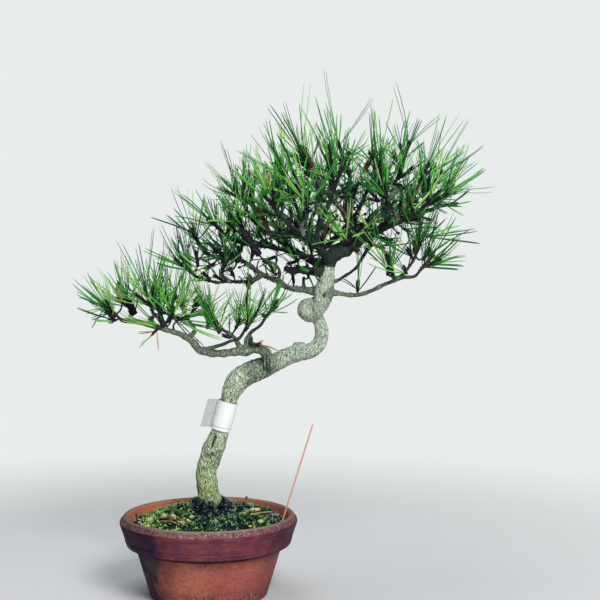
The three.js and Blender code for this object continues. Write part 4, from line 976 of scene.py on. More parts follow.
def pot_mesh(look):
    """The thrown pot: turned from its outline, a little out of true, with three drain holes."""
    p, sides = POT, 180
    groove = p.band_foot + 5.2
    slope = (p.rim - p.band_foot_radius) / (p.ridge_height - p.band_foot - 2.2)
    groove_radius = p.band_foot_radius + slope * (groove - p.band_foot - 2.2)
    inner = rounded([
        (0, 0, 0), (p.foot - 0.2, 0, 2), (p.body - 0.2, p.band_foot + 0.3, 1),
        (p.band_foot_radius - 0.3, p.band_foot, 0.8), (p.band_foot_radius + 0.4, p.band_foot + 2.5, 2),
        (groove_radius + 0.2, groove - 0.7, 0.3), (groove_radius - 0.45, groove, 0.4),
        (groove_radius + 0.25, groove + 0.7, 0.3), (p.rim - 0.3, p.ridge_height - 1.8, 1),
        (p.rim, p.ridge_height, 0.9), (p.crest + 0.6, p.rim_height - 0.7, 1.5), (p.crest - 1, p.rim_height, 1),
        (p.wall_inside + 1, p.rim_height - 1.2, 1.5), (p.wall_inside, p.rim_height - 5, 2),
        (p.body_inside, p.band_foot, 3), (p.floor_radius + 1.5, p.floor + 3, 4),
        (p.floor_radius - 2, p.floor, 2), (0, p.floor, 0),
    ])[1:-1]
    points = rings_of(inner[:, 0], inner[:, 1], sides).reshape(-1, 3)
    drift = uneven(points, 60, 1) + 0.35 * uneven(points, 14, 2)
    wear = np.clip(uneven(points, 2.6, 3) - 0.1, 0, 1) * np.exp(-((points[:, 2] - p.ridge_height) / 1.4) ** 2)
    lifted = np.clip(points[:, 2] / 10, 0, 1)
    points = points + unit(points * (1, 1, 0)) * (look.wobble / MM * drift * lifted - 0.5 * wear)[:, None]
    shell = Shell()
    shell.add(np.vstack([points, [0, 0, 0], [0, 0, p.floor]]), capped_faces(len(inner), sides))
    drills = []
    for hole in range(3):
        angle = math.pi / 2 + hole * 2 * math.pi / 3
        x, y = DRAIN.circle * math.cos(angle), DRAIN.circle * math.sin(angle)
        drill = Shell()
        drill.add(*tube([(x, y, z) for z in (-9, 0, 9, 18)], [DRAIN.hole] * 4, 28, 0))
        drills.append(placed(f"drill_{hole}", drill.mesh("drill")))
    steps = [("BOOLEAN", {"object": drill, "operation": "DIFFERENCE", "solver": "EXACT"}) for drill in drills]
    mesh = settled(shell.mesh("pot"), steps)
    for drill in drills:
        bpy.data.objects.remove(drill)
    return mesh


def mark_pot(mesh):
    """Tells the band, the bevel, the ridge and the inner wall apart from the body."""
    places = places_of(mesh)
    radius, z = np.hypot(places[:, 0], places[:, 1]), places[:, 2]
    inside = (radius < wall_inside(z) + 1.2) & (z > POT.floor - 0.5)
    inside |= (radius < POT.crest - 2) & (z > POT.rim_height - 5)
    ridge = np.exp(-((z - POT.ridge_height) / 1.5) ** 2) * ~inside
    band, bevel = ((z > height) & ~inside for height in (POT.band_foot + 0.6, POT.ridge_height + 0.2))
    mark(mesh, inside=inside, band=band, bevel=bevel, ridge=ridge)


class BONSAI_OT_pot(bpy.types.Operator):
    """Builds the weathered clay pot"""

    bl_idname = "bonsai.pot"
    bl_label = "Clay Pot"

    def execute(self, context):
        mesh = pot_mesh(context.scene.bonsai_pot)
        mark_pot(mesh)
        finished("clay_pot", mesh, [clay_finish(context.scene.bonsai_pot)], "terracotta", ["pot"])
        return {"FINISHED"}


class BONSAI_OT_filling(bpy.types.Operator):
    """Gives the soil and the drain screen their finish"""

    bl_idname = "bonsai.filling"
    bl_label = "Soil and Drain Screen"

    def execute(self, context):
        for node, finish in (("soil", soil_finish()), ("drain_screen", screen_finish())):
            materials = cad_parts[node].data.materials
            materials.clear()
            materials.append(finish)
        return {"FINISHED"}


# ------------------------------------------------------------------ moss and what lies on it


def moss_height(x, y):
    """Height of the moss carpet, before its fine growth."""
    m, radius = MOSS, np.hypot(x, y)
    cushions = np.sin(x / m.wave) * np.cos(y / m.wave) + 0.7 * np.sin((x - y) / (2 * m.wave))
    mound = (m.crown - m.edge) * np.exp(-((radius / m.mound) ** 4)) + m.slope * y
    dip = m.dip * np.exp(-(((x - m.dip_x) / m.dip_width) ** 2))
    collar = m.collar * np.exp(-(((radius - m.collar_radius) / 7) ** 2))
    return m.edge + mound - dip + collar + m.relief * cushions


def moss_areas(x, y):
    """How light the moss is at a place, and how blue."""
    tone, dusk = MOSS.tone, 0.0
    for middle_x, middle_y, reach_x, reach_y, lighter, bluer in MOSS_AREAS:
        near = np.exp(-((((x - middle_x) / reach_x) ** 2 + ((y - middle_y) / reach_y) ** 2) ** 2))
        tone = tone + lighter * near
        dusk = np.maximum(dusk, bluer * near)
    return tone, dusk


def off_line(points, start, end):
    """How far points in a plane lie from a straight line between two others."""
    start, run = np.array(start, float), np.array(end, float) - start
    share = np.clip((points - start) @ run / np.sum(run**2), 0, 1)
    return np.linalg.norm(points - start - share[:, None] * run, axis=1)


def bare_moss(x, y):
    """Falls from 1 to 0 where a stone or the straw lies, so that the moss leaves it bare."""
    free = 1.0
    for at, size, *_ in PEBBLES + GRIT:
        free = free * (1 - np.exp(-((np.hypot((x - at[0]) / size[0], (y - at[1]) / size[1]) / 1.25) ** 4)))
    for start, end in zip(STRAW, STRAW[1:]):
        free = free * (1 - np.exp(-((off_line(np.stack([x, y], axis=1), start, end) / 3) ** 4)))
    return free


def carpet_shell():
    """The moss carpet's own body, from its lumpy top down to the soil."""
    rings, sides, outer = 44, 150, wall_inside(MOSS.edge)
    radii = [*np.linspace(outer, MOSS.trunk_hole, rings), MOSS.trunk_hole, outer]
    points, top = rings_of(radii, np.zeros(rings + 2), sides).reshape(-1, 3), rings * sides
    points[:, 2] = moss_height(points[:, 0], points[:, 1])
    points[:top, 2] += 0.7 * uneven(points[:top], 7, 4) + 0.5 * uneven(points[:top], 2.6, 5)
    points[top:, 2] -= np.repeat([4.5, 4.0], sides)
    radii = np.hypot(points[:, 0], points[:, 1])
    points[:, :2] *= (np.minimum(radii, wall_inside(points[:, 2]) - 0.7) / radii)[:, None]
    tone, dusk = moss_areas(points[:, 0], points[:, 1])
    shell = Shell()
    # The carpet under the sprigs is darker: painted shade beneath them.
    shell.add(points, grid_faces(rings + 2, sides, closed=True), tone=tone * 0.4 - 0.1, dusk=dusk)
    return shell


def add_sprigs(shell, look):
    """Thousands of little moss plants in cushions, taller and ragged against the trunk."""
    rng = np.random.default_rng(11)
    inner, reach = MOSS.trunk_hole, wall_inside(MOSS.edge) - 1.5
    cushions, sprigs = 1700, look.sprigs
    radius = np.sqrt(rng.uniform(inner**2, reach**2, cushions))
    angle = rng.uniform(0, 2 * math.pi, cushions)
    size, lift = rng.uniform(1.0, 2.1, cushions), rng.uniform(0.2, 2.2, cushions)
    shade = rng.normal(0, 0.15, cushions)
    home = rng.integers(0, cushions, sprigs)
    off = np.sqrt(rng.random(sprigs))
    way = rng.uniform(0, 2 * math.pi, sprigs)
    x = radius[home] * np.cos(angle[home]) + off * size[home] * np.cos(way)
    y = radius[home] * np.sin(angle[home]) + off * size[home] * np.sin(way)
    trim = np.clip(np.hypot(x, y), inner, reach) / np.hypot(x, y)
    x, y = x * trim, y * trim
    near = np.exp(-(((np.hypot(x, y) - inner) / 5) ** 2))
    crest, free = 1 - off**2, bare_moss(x, y)
    rise = lift[home] * crest + 3 * near * rng.random(sprigs)
    feet = np.stack([x, y, moss_height(x, y) + free * rise], axis=1)
    light, dusk = moss_areas(x, y)
    # Sprigs go darker toward the rim of each cushion: painted shade between the cushions.
    tone = light + shade[home] + 0.5 * (crest - 0.5) + rng.normal(0, 0.13, sprigs)
    height = look.height / MM * rng.uniform(0.6, 1.2, sprigs) * (1 + 1.1 * near) * (0.3 + 0.7 * free)
    for leaf in range(4):
        turn = rng.uniform(0, 2 * math.pi, sprigs)
        slope = rng.uniform(0.2, 0.9, sprigs) * (0.3 if leaf == 0 else 1)
        lean_x, lean_y = (wave(turn) * slope + 0.7 * off * wave(way) for wave in (np.cos, np.sin))
        headings = unit(np.column_stack([lean_x, lean_y, np.ones(sprigs)]))
        sizes = height * rng.uniform(0.7, 1.1, sprigs)
        # Each leaf is darker at its foot, painted shade among the leaves, and lighter at its tip.
        foot_shade_tip_light = np.tile([-0.42, -0.42, -0.42, 0.3], sprigs)
        leaf_tone = np.repeat(tone + rng.normal(0, 0.1, sprigs), 4) + foot_shade_tip_light
        shell.add(*spikes(feet - headings * 0.4, headings, sizes, SPRIG_RADIUS),
                  dusk=np.repeat(dusk, 4), tone=leaf_tone)


class BONSAI_OT_moss(bpy.types.Operator):
    """Grows the moss carpet over the soil"""

    bl_idname = "bonsai.moss"
    bl_label = "Moss"

    def execute(self, context):
        shell = carpet_shell()
        add_sprigs(shell, context.scene.bonsai_moss)
        shell.piece("moss_carpet", [moss_finish(context.scene.bonsai_moss)], "moss", ["moss"])
        return {"FINISHED"}


def add_stone(shell, at, size, turn, tone, height=None):
    """A worn stone, sunk a little into the moss."""
    rings, sides = 12, 18
    polar = np.linspace(0, math.pi, rings + 2)[1:-1]
    ball = np.vstack([rings_of(np.sin(polar), np.cos(polar), sides).reshape(-1, 3), (0, 0, 1), (0, 0, -1)])
    ball *= (1 + 0.16 * uneven(ball, 0.9, turn * 7) + 0.05 * uneven(ball, 0.3, turn))[:, None] * size
    base = height or moss_height(*np.array(at, float)) + size[2] * 0.45
    faces = [face[::-1] for face in capped_faces(rings, sides)]
    shell.add(ball @ about("Z", turn) + (*at, base), faces, tone=tone)


def add_strand(shell, places, lift, count, radius, taper, sides, tint):
    """A stalk or a needle that lies on the moss, thinner by taper at its end."""
    centres, _ = Route([(x, y, moss_height(x, y) + lift, radius) for x, y in places]).walk(count)
    shell.add(*tube(centres, radius * (1 - taper), sides), tint=tint)


class BONSAI_OT_litter(bpy.types.Operator):
    """Lays stones, a straw and fallen needles on the moss"""

    bl_idname = "bonsai.litter"
    bl_label = "Stones and Litter"

    def execute(self, context):
        stone, dry = stone_finish(), dry_finish(context.scene.bonsai_needles)
        for number, pebble in enumerate(PEBBLES, 1):
            shell = Shell()
            add_stone(shell, *pebble)
            shell.piece(f"pebble_stone_{number}", [stone], "pebble", [f"pebble_{number}"])
        grit, straw, fallen = Shell(), Shell(), Shell()
        for bit in GRIT:
            add_stone(grit, *bit)
        add_stone(grit, *CRUMB, height=POT.rim_height + 0.6)
        grit.piece("grit", [stone], "pebble")
        add_strand(straw, STRAW, 1.1, 24, 0.7, 0.25 * np.linspace(0, 1, 24), 10, 0.85)
        straw.piece("dry_stalk", [dry], "straw", ["straw"])
        for start, end, tint in FALLEN:
            middle = ((start[0] + end[0]) / 2 + 1.5, (start[1] + end[1]) / 2 - 1)
            add_strand(fallen, (start, middle, end), 2.0, 14, 0.5, 0.6 * np.linspace(0, 1, 14) ** 3, 6, tint)
        fallen.piece("fallen_needles", [dry], "dry_needles")
        return {"FINISHED"}


# ------------------------------------------------------------------ wood


def twig_rows(branch, place, x, y, z, lean_x, lean_y, lean_z):
    """Points of a twig that bends round to arrive straight at the foot of its spray."""
    route = Route(BRANCHES[branch])
    start, heading, radius = route.spot(place * route.length)
    foot = np.array([x, y, z], float)
    reach = np.linalg.norm(foot - start)
    leaving = start + (foot - start) * 0.35 + heading * reach * 0.14
    arriving = foot - unit((lean_x, lean_y, lean_z)) * reach * 0.3
    thick = min(radius, TWIG_RADIUS)
    return [(*start, thick), (*leaving, thick * 0.95), (*arriving, SHOOT_RADIUS), (*foot, SHOOT_RADIUS)]


TWIGS = [twig_rows(*row[:8]) for row in SIDE_SPRAYS + DRY_SPRAYS]


def root_flare(angles, z):
    """Swell of the trunk round its foot."""
    near_soil = np.exp(-(((z - 69) / 9) ** 2))
    ribs = 0.03 * np.sin(angles * 3 + z * 0.35) + 0.02 * np.sin(angles * 5 - z * 0.21)
    return np.where(z < 60, 1, 1 + 0.09 * near_soil * np.cos(angles * 4 + 0.7) + ribs)


def limb(rows, is_trunk, rng):
    """Centres and radii of one limb, with the collar at its foot and the knuckles of old shoots."""
    route = Route(rows)
    sides, step = (36, 1.4) if is_trunk else (12, 1.3)
    count = max(5, int(route.length / step) + 1)
    centres, radii = route.walk(count)
    if is_trunk:
        return centres, radii[:, None] * root_flare(angles_round(sides), centres[:, 2:]), sides
    shares = np.linspace(0, 1, count)
    run, foot = shares * route.length, radii[0]
    radii = radii * (1 + 0.4 * np.exp(-np.maximum(run - foot * 1.6, 0) / (foot * 1.5)))
    for at in np.arange(rng.uniform(7, 12), route.length - 5, rng.uniform(9, 14)):
        radii *= 1 + rng.uniform(0.1, 0.3) * np.exp(-((run - at) / (foot * 0.55 + 0.5)) ** 2)
    drift = np.stack([uneven(centres, 11, 20 + k) for k in range(3)], axis=1)
    return centres + drift * np.sin(np.pi * shares)[:, None] * 0.9, radii, sides


def wood_mesh(look):
    """Trunk, branches and twigs as one skin, with the bark's relief."""
    rng = np.random.default_rng(5)
    shell, cores, values = Shell(), [], []
    for name, rows in [*BRANCHES.items(), *(("twig", rows) for rows in TWIGS)]:
        centres, radii, sides = limb(rows, name == "trunk", rng)
        shell.add(*tube(centres, radii, sides))
        cores.append(centres)
        z = centres[:, 2]
        dry = (z > 308) * float(name == "greyUp") + float(name == "loop")
        # Painted shade: the top of the trunk and the branches inside the crown are darkened.
        hidden = np.clip((z - 274) / 11, 0, 1) if name == "trunk" else float(name in CROWN[2:])
        values.append(np.column_stack([
            radii.mean(axis=1) if radii.ndim == 2 else radii, dry, np.broadcast_to(hidden, len(z))]))
    mesh = settled(shell.mesh("wood"), [
        ("REMESH", {"mode": "VOXEL", "voxel_size": look.grain, "adaptivity": 0.0}),
        ("SMOOTH", {"factor": 0.5, "iterations": 2}),
    ])
    carve_bark(mesh, np.vstack(cores), np.vstack(values), look.relief / MM)
    return mesh


def carve_bark(mesh, cores, values, relief):
    """Cracks, flakes, grooves and the pale knob, and values for the bark's colour."""
    places, normals = places_of(mesh), np.empty(len(mesh.vertices) * 3)
    mesh.vertex_normals.foreach_get("vector", normals)
    normals = normals.reshape(-1, 3)
    core = nearest(cores)
    girth, dry, hidden = values[[core(p) for p in places]].T
    off_knob = np.linalg.norm(places - KNOB, axis=1)
    girth = np.where(off_knob < 9, 9, girth)
    flat = places * (1, 1, 0.55)
    lines = np.clip(1 - np.abs(uneven(flat, 3.4, 6)) * 5, 0, 1) * np.clip(uneven(places, 9, 7) + 0.75, 0, 1)
    depth = np.clip(girth / 8, 0.14, 1)
    scaly = uneven(flat, 2.1, 9) + 0.8 * uneven(flat, 3.3, 10)
    lift = relief * depth * (0.6 * uneven(places, 7, 8) + 0.75 * scaly - 0.9 * lines)
    grooved = 0
    for start, end, width, deep in GROOVES:
        off = off_line(places[:, [0, 2]], start, end)
        groove = np.exp(-((off / width) ** 2)) * (normals[:, 1] < 0.1) * (girth > 2.4) * (places[:, 1] < 0)
        lift -= deep * groove
        grooved = np.maximum(grooved, groove)
    places = places + normals * lift[:, None]
    sawn = (np.abs(places[:, 0] - SAWN.x) < SAWN.reach) & (np.abs(places[:, 2] - SAWN.z) < SAWN.depth)
    places[:, 2] = np.where(sawn, SAWN.cut, places[:, 2])
    grooved = np.maximum(grooved, 0.7 * sawn)
    mesh.vertices.foreach_set("co", (places * MM).ravel())
    # Cracks, grooves and the sawn cut are darkened: darker bark there, with painted shade in the cracks and
    # grooves.
    hollow = np.clip(0.4 * lines * depth - 0.35 * np.clip(scaly, -1, 0) * depth + 1.15 * grooved, 0, 1)
    knob = 0.8 * np.exp(-((off_knob / 2.4) ** 4))
    mark(mesh, girth=girth / 10, hollow=hollow * (1 - knob), dry=0.75 * dry, knob=knob, hidden=hidden)
    mesh.update()


class BONSAI_OT_wood(bpy.types.Operator):
    """Builds the trunk, the branches and the twigs as one piece of wood"""

    bl_idname = "bonsai.wood"
    bl_label = "Trunk and Branches"

    def execute(self, context):
        look = context.scene.bonsai_wood
        bark = bark_finish(look)
        finished("pine_wood", wood_mesh(look), [bark], "bark", ["tree"])
        twigs = Shell()
        add_bare_twigs(twigs)
        twigs.piece("bare_twigs", [bark, bud_finish(context.scene.bonsai_needles)], "bark")
        return {"FINISHED"}


def add_bare_twigs(shell):
    """Short bare twiglets and dormant buds along the branches of the crown."""
    rng = np.random.default_rng(8)
    for route in (Route(BRANCHES[name]) for name in CROWN):
        for run in np.arange(8, route.length * 0.95, 11):
            start, heading, radius = route.spot(run)
            out = unit(np.cross(heading, rng.normal(size=3)))
            reach = rng.uniform(5, 15)
            aim = unit(out + heading * 0.5 + UP * rng.uniform(0, 0.8))
            bow = unit(rng.normal(size=3)) * reach * 0.12
            shares = np.linspace(0, 1, 7)
            bowed = np.sin(shares * math.pi)[:, None] * bow
            centres = start + out * radius * 0.4 + shares[:, None] * aim * reach + bowed
            knuckles = 1 + 0.25 * np.sin(shares * 9 + run)
            shell.add(*tube(centres, (0.8 - 0.3 * shares) * knuckles, 7), girth=0.1)
            if rng.random() < 0.6:
                ahead = unit(centres[-1] - centres[-2]) * rng.uniform(3, 5)
                tip = centres[-1] + np.linspace(0, 1, 6)[:, None] * ahead
                shell.add(*tube(tip, [0.7, 1.15, 1.3, 1.15, 0.75, 0.15], 8), paint=1, warm=rng.uniform(0, 0.2))


# ------------------------------------------------------------------ needles


def needles_at(roots, headings, lengths, bends, widths):
    """Slender needles, flat on one side like half a round rod, each running out to its point."""
    across = unit(np.cross(headings, unit(bends + headings[:, [2, 0, 1]] * 0.2)))
    shares, rings = NEEDLE_SHARES[None, :, None], len(NEEDLE_SHARES)
    run = shares * headings[:, None] + shares**2 * bends[:, None]
    centres = roots[:, None] + lengths[:, None, None] * run
    sides = spokes(across, np.cross(headings, across), np.arange(4) * math.pi / 2, NEEDLE_ROUND)[:, None]
    size = widths[:, None, None, None] * NEEDLE_GIRTH[None, :, None, None]
    last = 4 * rings - 4
    faces = grid_faces(rings, 4) + [(3, 2, 1, 0), (last, last + 1, last + 2, last + 3)]
    reach = np.tile(np.repeat(NEEDLE_SHARES, 4), len(roots))
    return (centres[:, :, None] + size * sides).reshape(-1, 3), repeated(faces, 4 * rings, len(roots)), reach


def shoots_of(foot, axis, count, reach, index, dry=False):
    """The shoots of a spray: the first goes straight on, the others fork from its foot."""
    side = unit((axis[1], -axis[0], 0))
    for k in range(count):
        turn = GOLDEN_ANGLE * index + k * math.pi + draw(index, k)
        out = side * math.cos(turn) + np.cross(axis, side) * math.sin(turn) + axis * np.dot(axis, side) * (
            1 - math.cos(turn))
        first = k == 0
        yield Sizes(
            fork=foot + axis * (FORK_GAP if first else 1.2 + 1.6 * k), turn=turn,
            heading=axis if first else unit(axis + 0.85 * out + 0.25 * UP),
            length=0.27 * reach * (1.1 if first else 0.95) * (0.9 + 0.2 * draw(index, k + 20)),
            radius=SHOOT_RADIUS * (0.85 if dry else 1) * (1 if first else 0.75))


def grow_shoot(shell, shoot, reach, pairs, look, rng, tone, warm, dry=False):
    """One shoot: its scaly stem, its bud and its pairs of needles."""
    heading, fork, radius, run = shoot.heading, shoot.fork, shoot.radius, shoot.length
    shares = np.linspace(-0.15, 1, max(6, int(run / 1.2)))
    stem = fork + shares[:, None] * run * heading
    thick = radius * (0.85 if dry else 1.0)
    shell.add(*tube(stem, thick * rng.uniform(0.82, 1.2, (len(stem), 9)), 9), paint=1, warm=0.8 * warm)
    add_bracts(shell, stem[1], heading, run, thick, int(run * 2.6), rng, 0.8 * warm)
    if not dry:
        size = rng.uniform(5, 8)
        foot = stem[-1] - heading
        tip = foot + np.linspace(0, 1, 8)[:, None] * (heading * size + UP * size * 0.12)
        swell = min(radius, 2) * np.array([1.0, 1.15, 1.2, 1.1, 0.95, 0.7, 0.4, 0.08])
        shell.add(*tube(tip, swell[:, None] * rng.uniform(0.88, 1.12, (8, 10)), 10), paint=1, warm=warm)
        add_bracts(shell, foot, heading, size * 0.75, min(radius, 2) * 1.1, 26, rng, warm)
    order = np.linspace(0.25, 1, pairs)
    tilt = np.radians(64 - 46 * order**0.9) + rng.normal(0, 0.24, pairs)
    out = spokes_round(heading, shoot.turn + GOLDEN_ANGLE * np.arange(pairs) + rng.normal(0, 0.4, pairs))
    aim = np.cos(tilt)[:, None] * heading + np.sin(tilt)[:, None] * out + (0 if dry else 0.2) * UP
    roots = fork + heading * (order * run)[:, None] + out * radius * 0.9
    lengths = min(reach, LONG_USUAL) * (0.5 + 0.5 * rng.random(pairs))
    lengths = np.where(rng.random(pairs) < 0.08, reach, lengths)
    add_pairs(shell, roots, unit(aim), lengths, look, rng, tone)


def add_pairs(shell, roots, aim, lengths, look, rng, tone):
    """Pairs of needles, each pair out of one sheath and a little apart."""
    pairs = len(roots)
    spread = unit(np.cross(aim, rng.normal(size=(pairs, 3))))
    part = spread * rng.uniform(0.02, 0.16, pairs)[:, None]
    bend = UP * rng.uniform(-0.08, 0.2, pairs)[:, None] + rng.normal(0, 0.08, (pairs, 3))
    tint = np.clip(tone + rng.normal(0, 0.3, pairs), 0, 1)
    for side in (1, -1):
        sized = lengths * rng.uniform(0.9, 1, pairs)
        widths = look.width / MM * rng.uniform(0.75, 1.15, pairs)
        heading, bends = unit(aim + side * part), bend - side * part * 0.5
        points, faces, reach = needles_at(roots, heading, sized, bends, widths)
        shell.add(points, faces, tint=np.repeat(tint, len(reach) // pairs), reach=reach)


def add_bracts(shell, start, heading, size, radius, count, rng, warm):
    """Small pointed scales that lie against a stem or a bud."""
    out = spokes_round(heading, GOLDEN_ANGLE * np.arange(count))
    roots = start + heading * (np.linspace(0.02, 0.92, count) * size)[:, None] + out * radius * 0.8
    lean = rng.uniform(0.25, 0.75, count)[:, None]
    points, faces = spikes(roots, unit(heading + out * lean), rng.uniform(1.3, 2.4, count), BRACT_RADIUS)
    shell.add(points, faces, paint=1, warm=np.repeat(np.clip(warm + rng.normal(0, 0.12, count), 0, 1), 4))


def all_sprays():
    """Every spray as (node, foot, axis, shoots, reach, index, dry)."""
    rows = [(BRANCHES[name], *size) for name, size in TIP_SPRAYS.items()]
    rows += [(TWIGS[i], row[8], row[9]) for i, row in enumerate(SIDE_SPRAYS + DRY_SPRAYS)]
    living = len(rows) - len(DRY_SPRAYS)
    for index, (points, count, reach) in enumerate(rows):
        route = Route(points)
        foot, axis, _ = route.spot(route.length)
        dry = index >= living
        name = f"dry_spray_{index - living + 1}" if dry else f"spray_{index + 1:02d}"
        yield name, foot, axis, count, reach, index, dry


class BONSAI_OT_sprays(bpy.types.Operator):
    """Grows the sprays of needles on the ends of branches and twigs"""

    bl_idname = "bonsai.sprays"
    bl_label = "Sprays of Needles"

    def execute(self, context):
        look = context.scene.bonsai_needles
        green, bud, dead = needle_finish(look), bud_finish(look), dry_finish(look)
        for node, foot, axis, count, reach, index, dry in all_sprays():
            rng = np.random.default_rng(100 + index)
            shell = Shell()
            tone = 0.5 if dry else 0.5 + 0.3 * (draw(index, 50) - 0.5) + (0.1 if foot[2] < 245 else 0)
            shoots = list(shoots_of(foot, axis, count, reach, index, dry))
            pairs = 3 if dry else look.pairs - (2 if foot[2] > 335 else 0)
            for k, shoot in enumerate(shoots):
                warm = rng.uniform(0.6, 1) if draw(index * 3 + k, 77) < 0.07 else rng.uniform(0, 0.1)
                grow_shoot(shell, shoot, reach * (1 if k == 0 else 0.72), pairs, look, rng, tone, warm, dry)
            for tip in LONG_NEEDLES.get(index + 1, []):
                root = shoots[0].fork + axis * shoots[0].length
                run = (tip - root)[None]
                add_pairs(shell, root[None], unit(run), np.linalg.norm(run, axis=1), look, rng, 0.42)
            needles, slot = (dead, "dry_needles") if dry else (green, "needles")
            shell.piece(f"{node}_fine", [needles, bud], slot, [node])
        return {"FINISHED"}


def spurs():
    """Short spurs along the crown's branches, in the same form as the shoots on twigs of their own."""
    rng = np.random.default_rng(21)
    crowding = {0: 1.35, 1: 1.2, 2: 1.5, 9: 0.75, 10: 0.75}
    for limb_number, points in enumerate([BRANCHES[name] for name in CROWN] + TWIGS[6:22]):
        route = Route(points)
        run = rng.uniform(8, 13)
        while run < route.length - 3:
            start, heading, radius = route.spot(run)
            aim = unit(unit(np.cross(heading, rng.normal(size=3))) + heading * 0.5 + UP * rng.uniform(0, 1))
            foot = start + aim * (radius + rng.uniform(2, 12))
            pairs = int(rng.integers(3, 7))
            warm = 0.9 if rng.random() < 0.05 else 0.0
            stem, reach, tone = rng.uniform(4, 9), rng.uniform(18, 36), rng.uniform(0.1, 0.68)
            yield (*foot, *aim, stem, SPUR_RADIUS, pairs, reach, tone, warm)
            run += rng.uniform(7, 12) * crowding.get(limb_number, 1.05)


def add_old_scales(shell, rows):
    """Scales of old shoots that still stand along a thin branch."""
    route = Route(rows)
    rng = np.random.default_rng(int(route.length * 10))
    count = int(route.length * 1.1)
    t = route.share(rng.uniform(0.12, 1, count))
    heading = route.heading(t)
    across = unit(np.cross(heading, rng.normal(size=(count, 3))))
    roots = route.at(t) + across * (route.radius(t) * 0.6)[:, None]
    aims = unit(heading + across * rng.uniform(0.4, 1.3, count)[:, None])
    points, faces = spikes(roots, aims, rng.uniform(2, 4, count), rng.uniform(0.5, 0.8, count))
    shell.add(points, faces, paint=1, warm=np.repeat(rng.uniform(0, 0.18, count), 4))


def add_small_shoots(shell, twigs, look):
    """The small shoots, each with a twig that joins it to the nearest wood."""
    limbs = [Route(rows) for rows in [*BRANCHES.values(), *TWIGS]]
    cores = np.vstack([limb.walk(int(limb.length / 2) + 2)[0] for limb in limbs])
    core = nearest(cores)
    for number, row in enumerate([*SMALL_SHOOTS, *spurs()]):
        foot, heading = np.array(row[:3], float), unit(row[3:6])
        stem, radius, pairs, reach, tone, warm = row[6:]
        rng = np.random.default_rng(400 + number)
        shoot = Sizes(fork=foot, heading=heading, length=stem, radius=radius, turn=number * 1.7)
        grow_shoot(shell, shoot, reach, pairs, look, rng, tone, warm)
        start = cores[core(foot)]
        bend = foot - heading * np.linalg.norm(foot - start) * 0.4
        rows = [(*start, 0.9), (*(start * 0.4 + bend * 0.6), 0.7), (*(foot + heading * 1.5), 0.9)]
        places, radii = Route(rows).walk(8)
        twigs.add(*tube(places, radii[:, None] * rng.uniform(0.85, 1.2, (8, 8)), 8), girth=0.1)


def add_bundles(shell, look):
    """Needles that lie close together."""
    rng = np.random.default_rng(9)
    for *ends, pairs, tone in BUNDLES:
        root, tip = np.array(ends[:3], float), np.array(ends[3:], float)
        runs = tip + rng.normal(0, 2.4, (pairs, 3)) - root
        lengths = np.linalg.norm(runs, axis=1)
        add_pairs(shell, root + rng.normal(0, 0.8, (pairs, 3)), unit(runs), lengths, look, rng, tone)


def add_husks(shell):
    """Pale dead candles."""
    for x, y, z, *lean, size in HUSKS:
        foot, heading, along = np.array((x, y, z)), unit(lean), np.linspace(0, 1, 9)
        swell = 2.1 * np.sin(math.pi * (0.12 + 0.84 * along)) ** 0.7
        shell.add(*tube(foot + along[:, None] * size * heading, swell, 9), paint=1, husk=0.9)
        add_bracts(shell, foot, heading, size, 1.6, int(size * 3), np.random.default_rng(int(size)), 0.6)


class BONSAI_OT_small_shoots(bpy.types.Operator):
    """Adds the small shoots that grow on short twigs along the branches"""

    bl_idname = "bonsai.small_shoots"
    bl_label = "Small Shoots"

    def execute(self, context):
        look = context.scene.bonsai_needles
        shell, twigs = Shell(), Shell()
        add_small_shoots(shell, twigs, look)
        for rows in [BRANCHES[name] for name in CROWN] + TWIGS:
            add_old_scales(shell, rows)
        add_bundles(shell, look)
        add_husks(shell)
        shell.piece("small_shoots", [needle_finish(look, "small shoots"), bud_finish(look)], "needles")
        twigs.piece("small_twigs", [bark_finish(context.scene.bonsai_wood)], "bark")
        return {"FINISHED"}


# ------------------------------------------------------------------ label, stick and peg


def label_place(points):
    """From the label's own place to where it sits on the leaning trunk."""
    swing, tilt = about("Z", math.radians(LABEL.swing)), about("Y", math.radians(LABEL.tilt))
    return np.asarray(points) @ swing @ tilt + LABEL.at


def add_wraps(shell):
    """The strip round the trunk: two turns, and painted shadow lines along the lower edges of both."""
    half, overlap, edge, sides = LABEL.height / 2, 3.2, 0.4, 72
    seam = overlap - half
    # soil: how dark the painted shadow line along each edge is.
    for low, high, wall, soil in (
        (-half, half, 0.3, 0), (seam, half, 0.6, 0), (seam - edge, seam, 0.6, 0.7),
        (-half - edge * 0.4, -half, 0.3, 0.5),
    ):
        radii, middle = np.repeat([LABEL.radius + wall, LABEL.radius], 3), (low + high) / 2
        rings = rings_of(radii, [low, middle, high, high, middle, low], sides)
        shell.add(label_place(rings.reshape(-1, 3)), grid_faces(6, sides, closed=True), edge=soil)


def add_tail(shell):
    """The strip's loose end, which curls a little toward the back."""
    columns, rows, half, outer, thick = 8, 10, LABEL.height / 2, LABEL.radius + LABEL.wall, 0.28
    u, v = np.arange(columns) / (columns - 1), np.arange(rows)[:, None] / (rows - 1)
    x = -outer + 0.6 - (LABEL.tail + 1) * u
    y = -0.5 + 1.4 * u * u * (0.4 + 0.6 * v) - thick / 2
    z = -half + 2 * half * v - np.maximum(0, -outer - x) * math.tan(math.radians(LABEL.tilt))
    front = np.stack([np.broadcast_to(x, z.shape), y, z], axis=2).reshape(-1, 3)
    count = rows * columns
    quads = [(a, a + columns, a + columns + 1, a + 1) for a in range(count - columns) if (a + 1) % columns]
    top, left = range(count - 2, count - columns - 1, -1), range(count - 2 * columns, 0, -columns)
    border = [*range(columns), *range(2 * columns - 1, count, columns), *top, *left]
    faces = [quad[::-1] for quad in quads] + [tuple(k + count for k in quad) for quad in quads]
    faces += [(b, a, a + count, b + count) for a, b in zip(border, border[1:] + border[:1])]
    shell.add(label_place(np.vstack([front, front + (0, thick, 0)])), faces, paint=1)


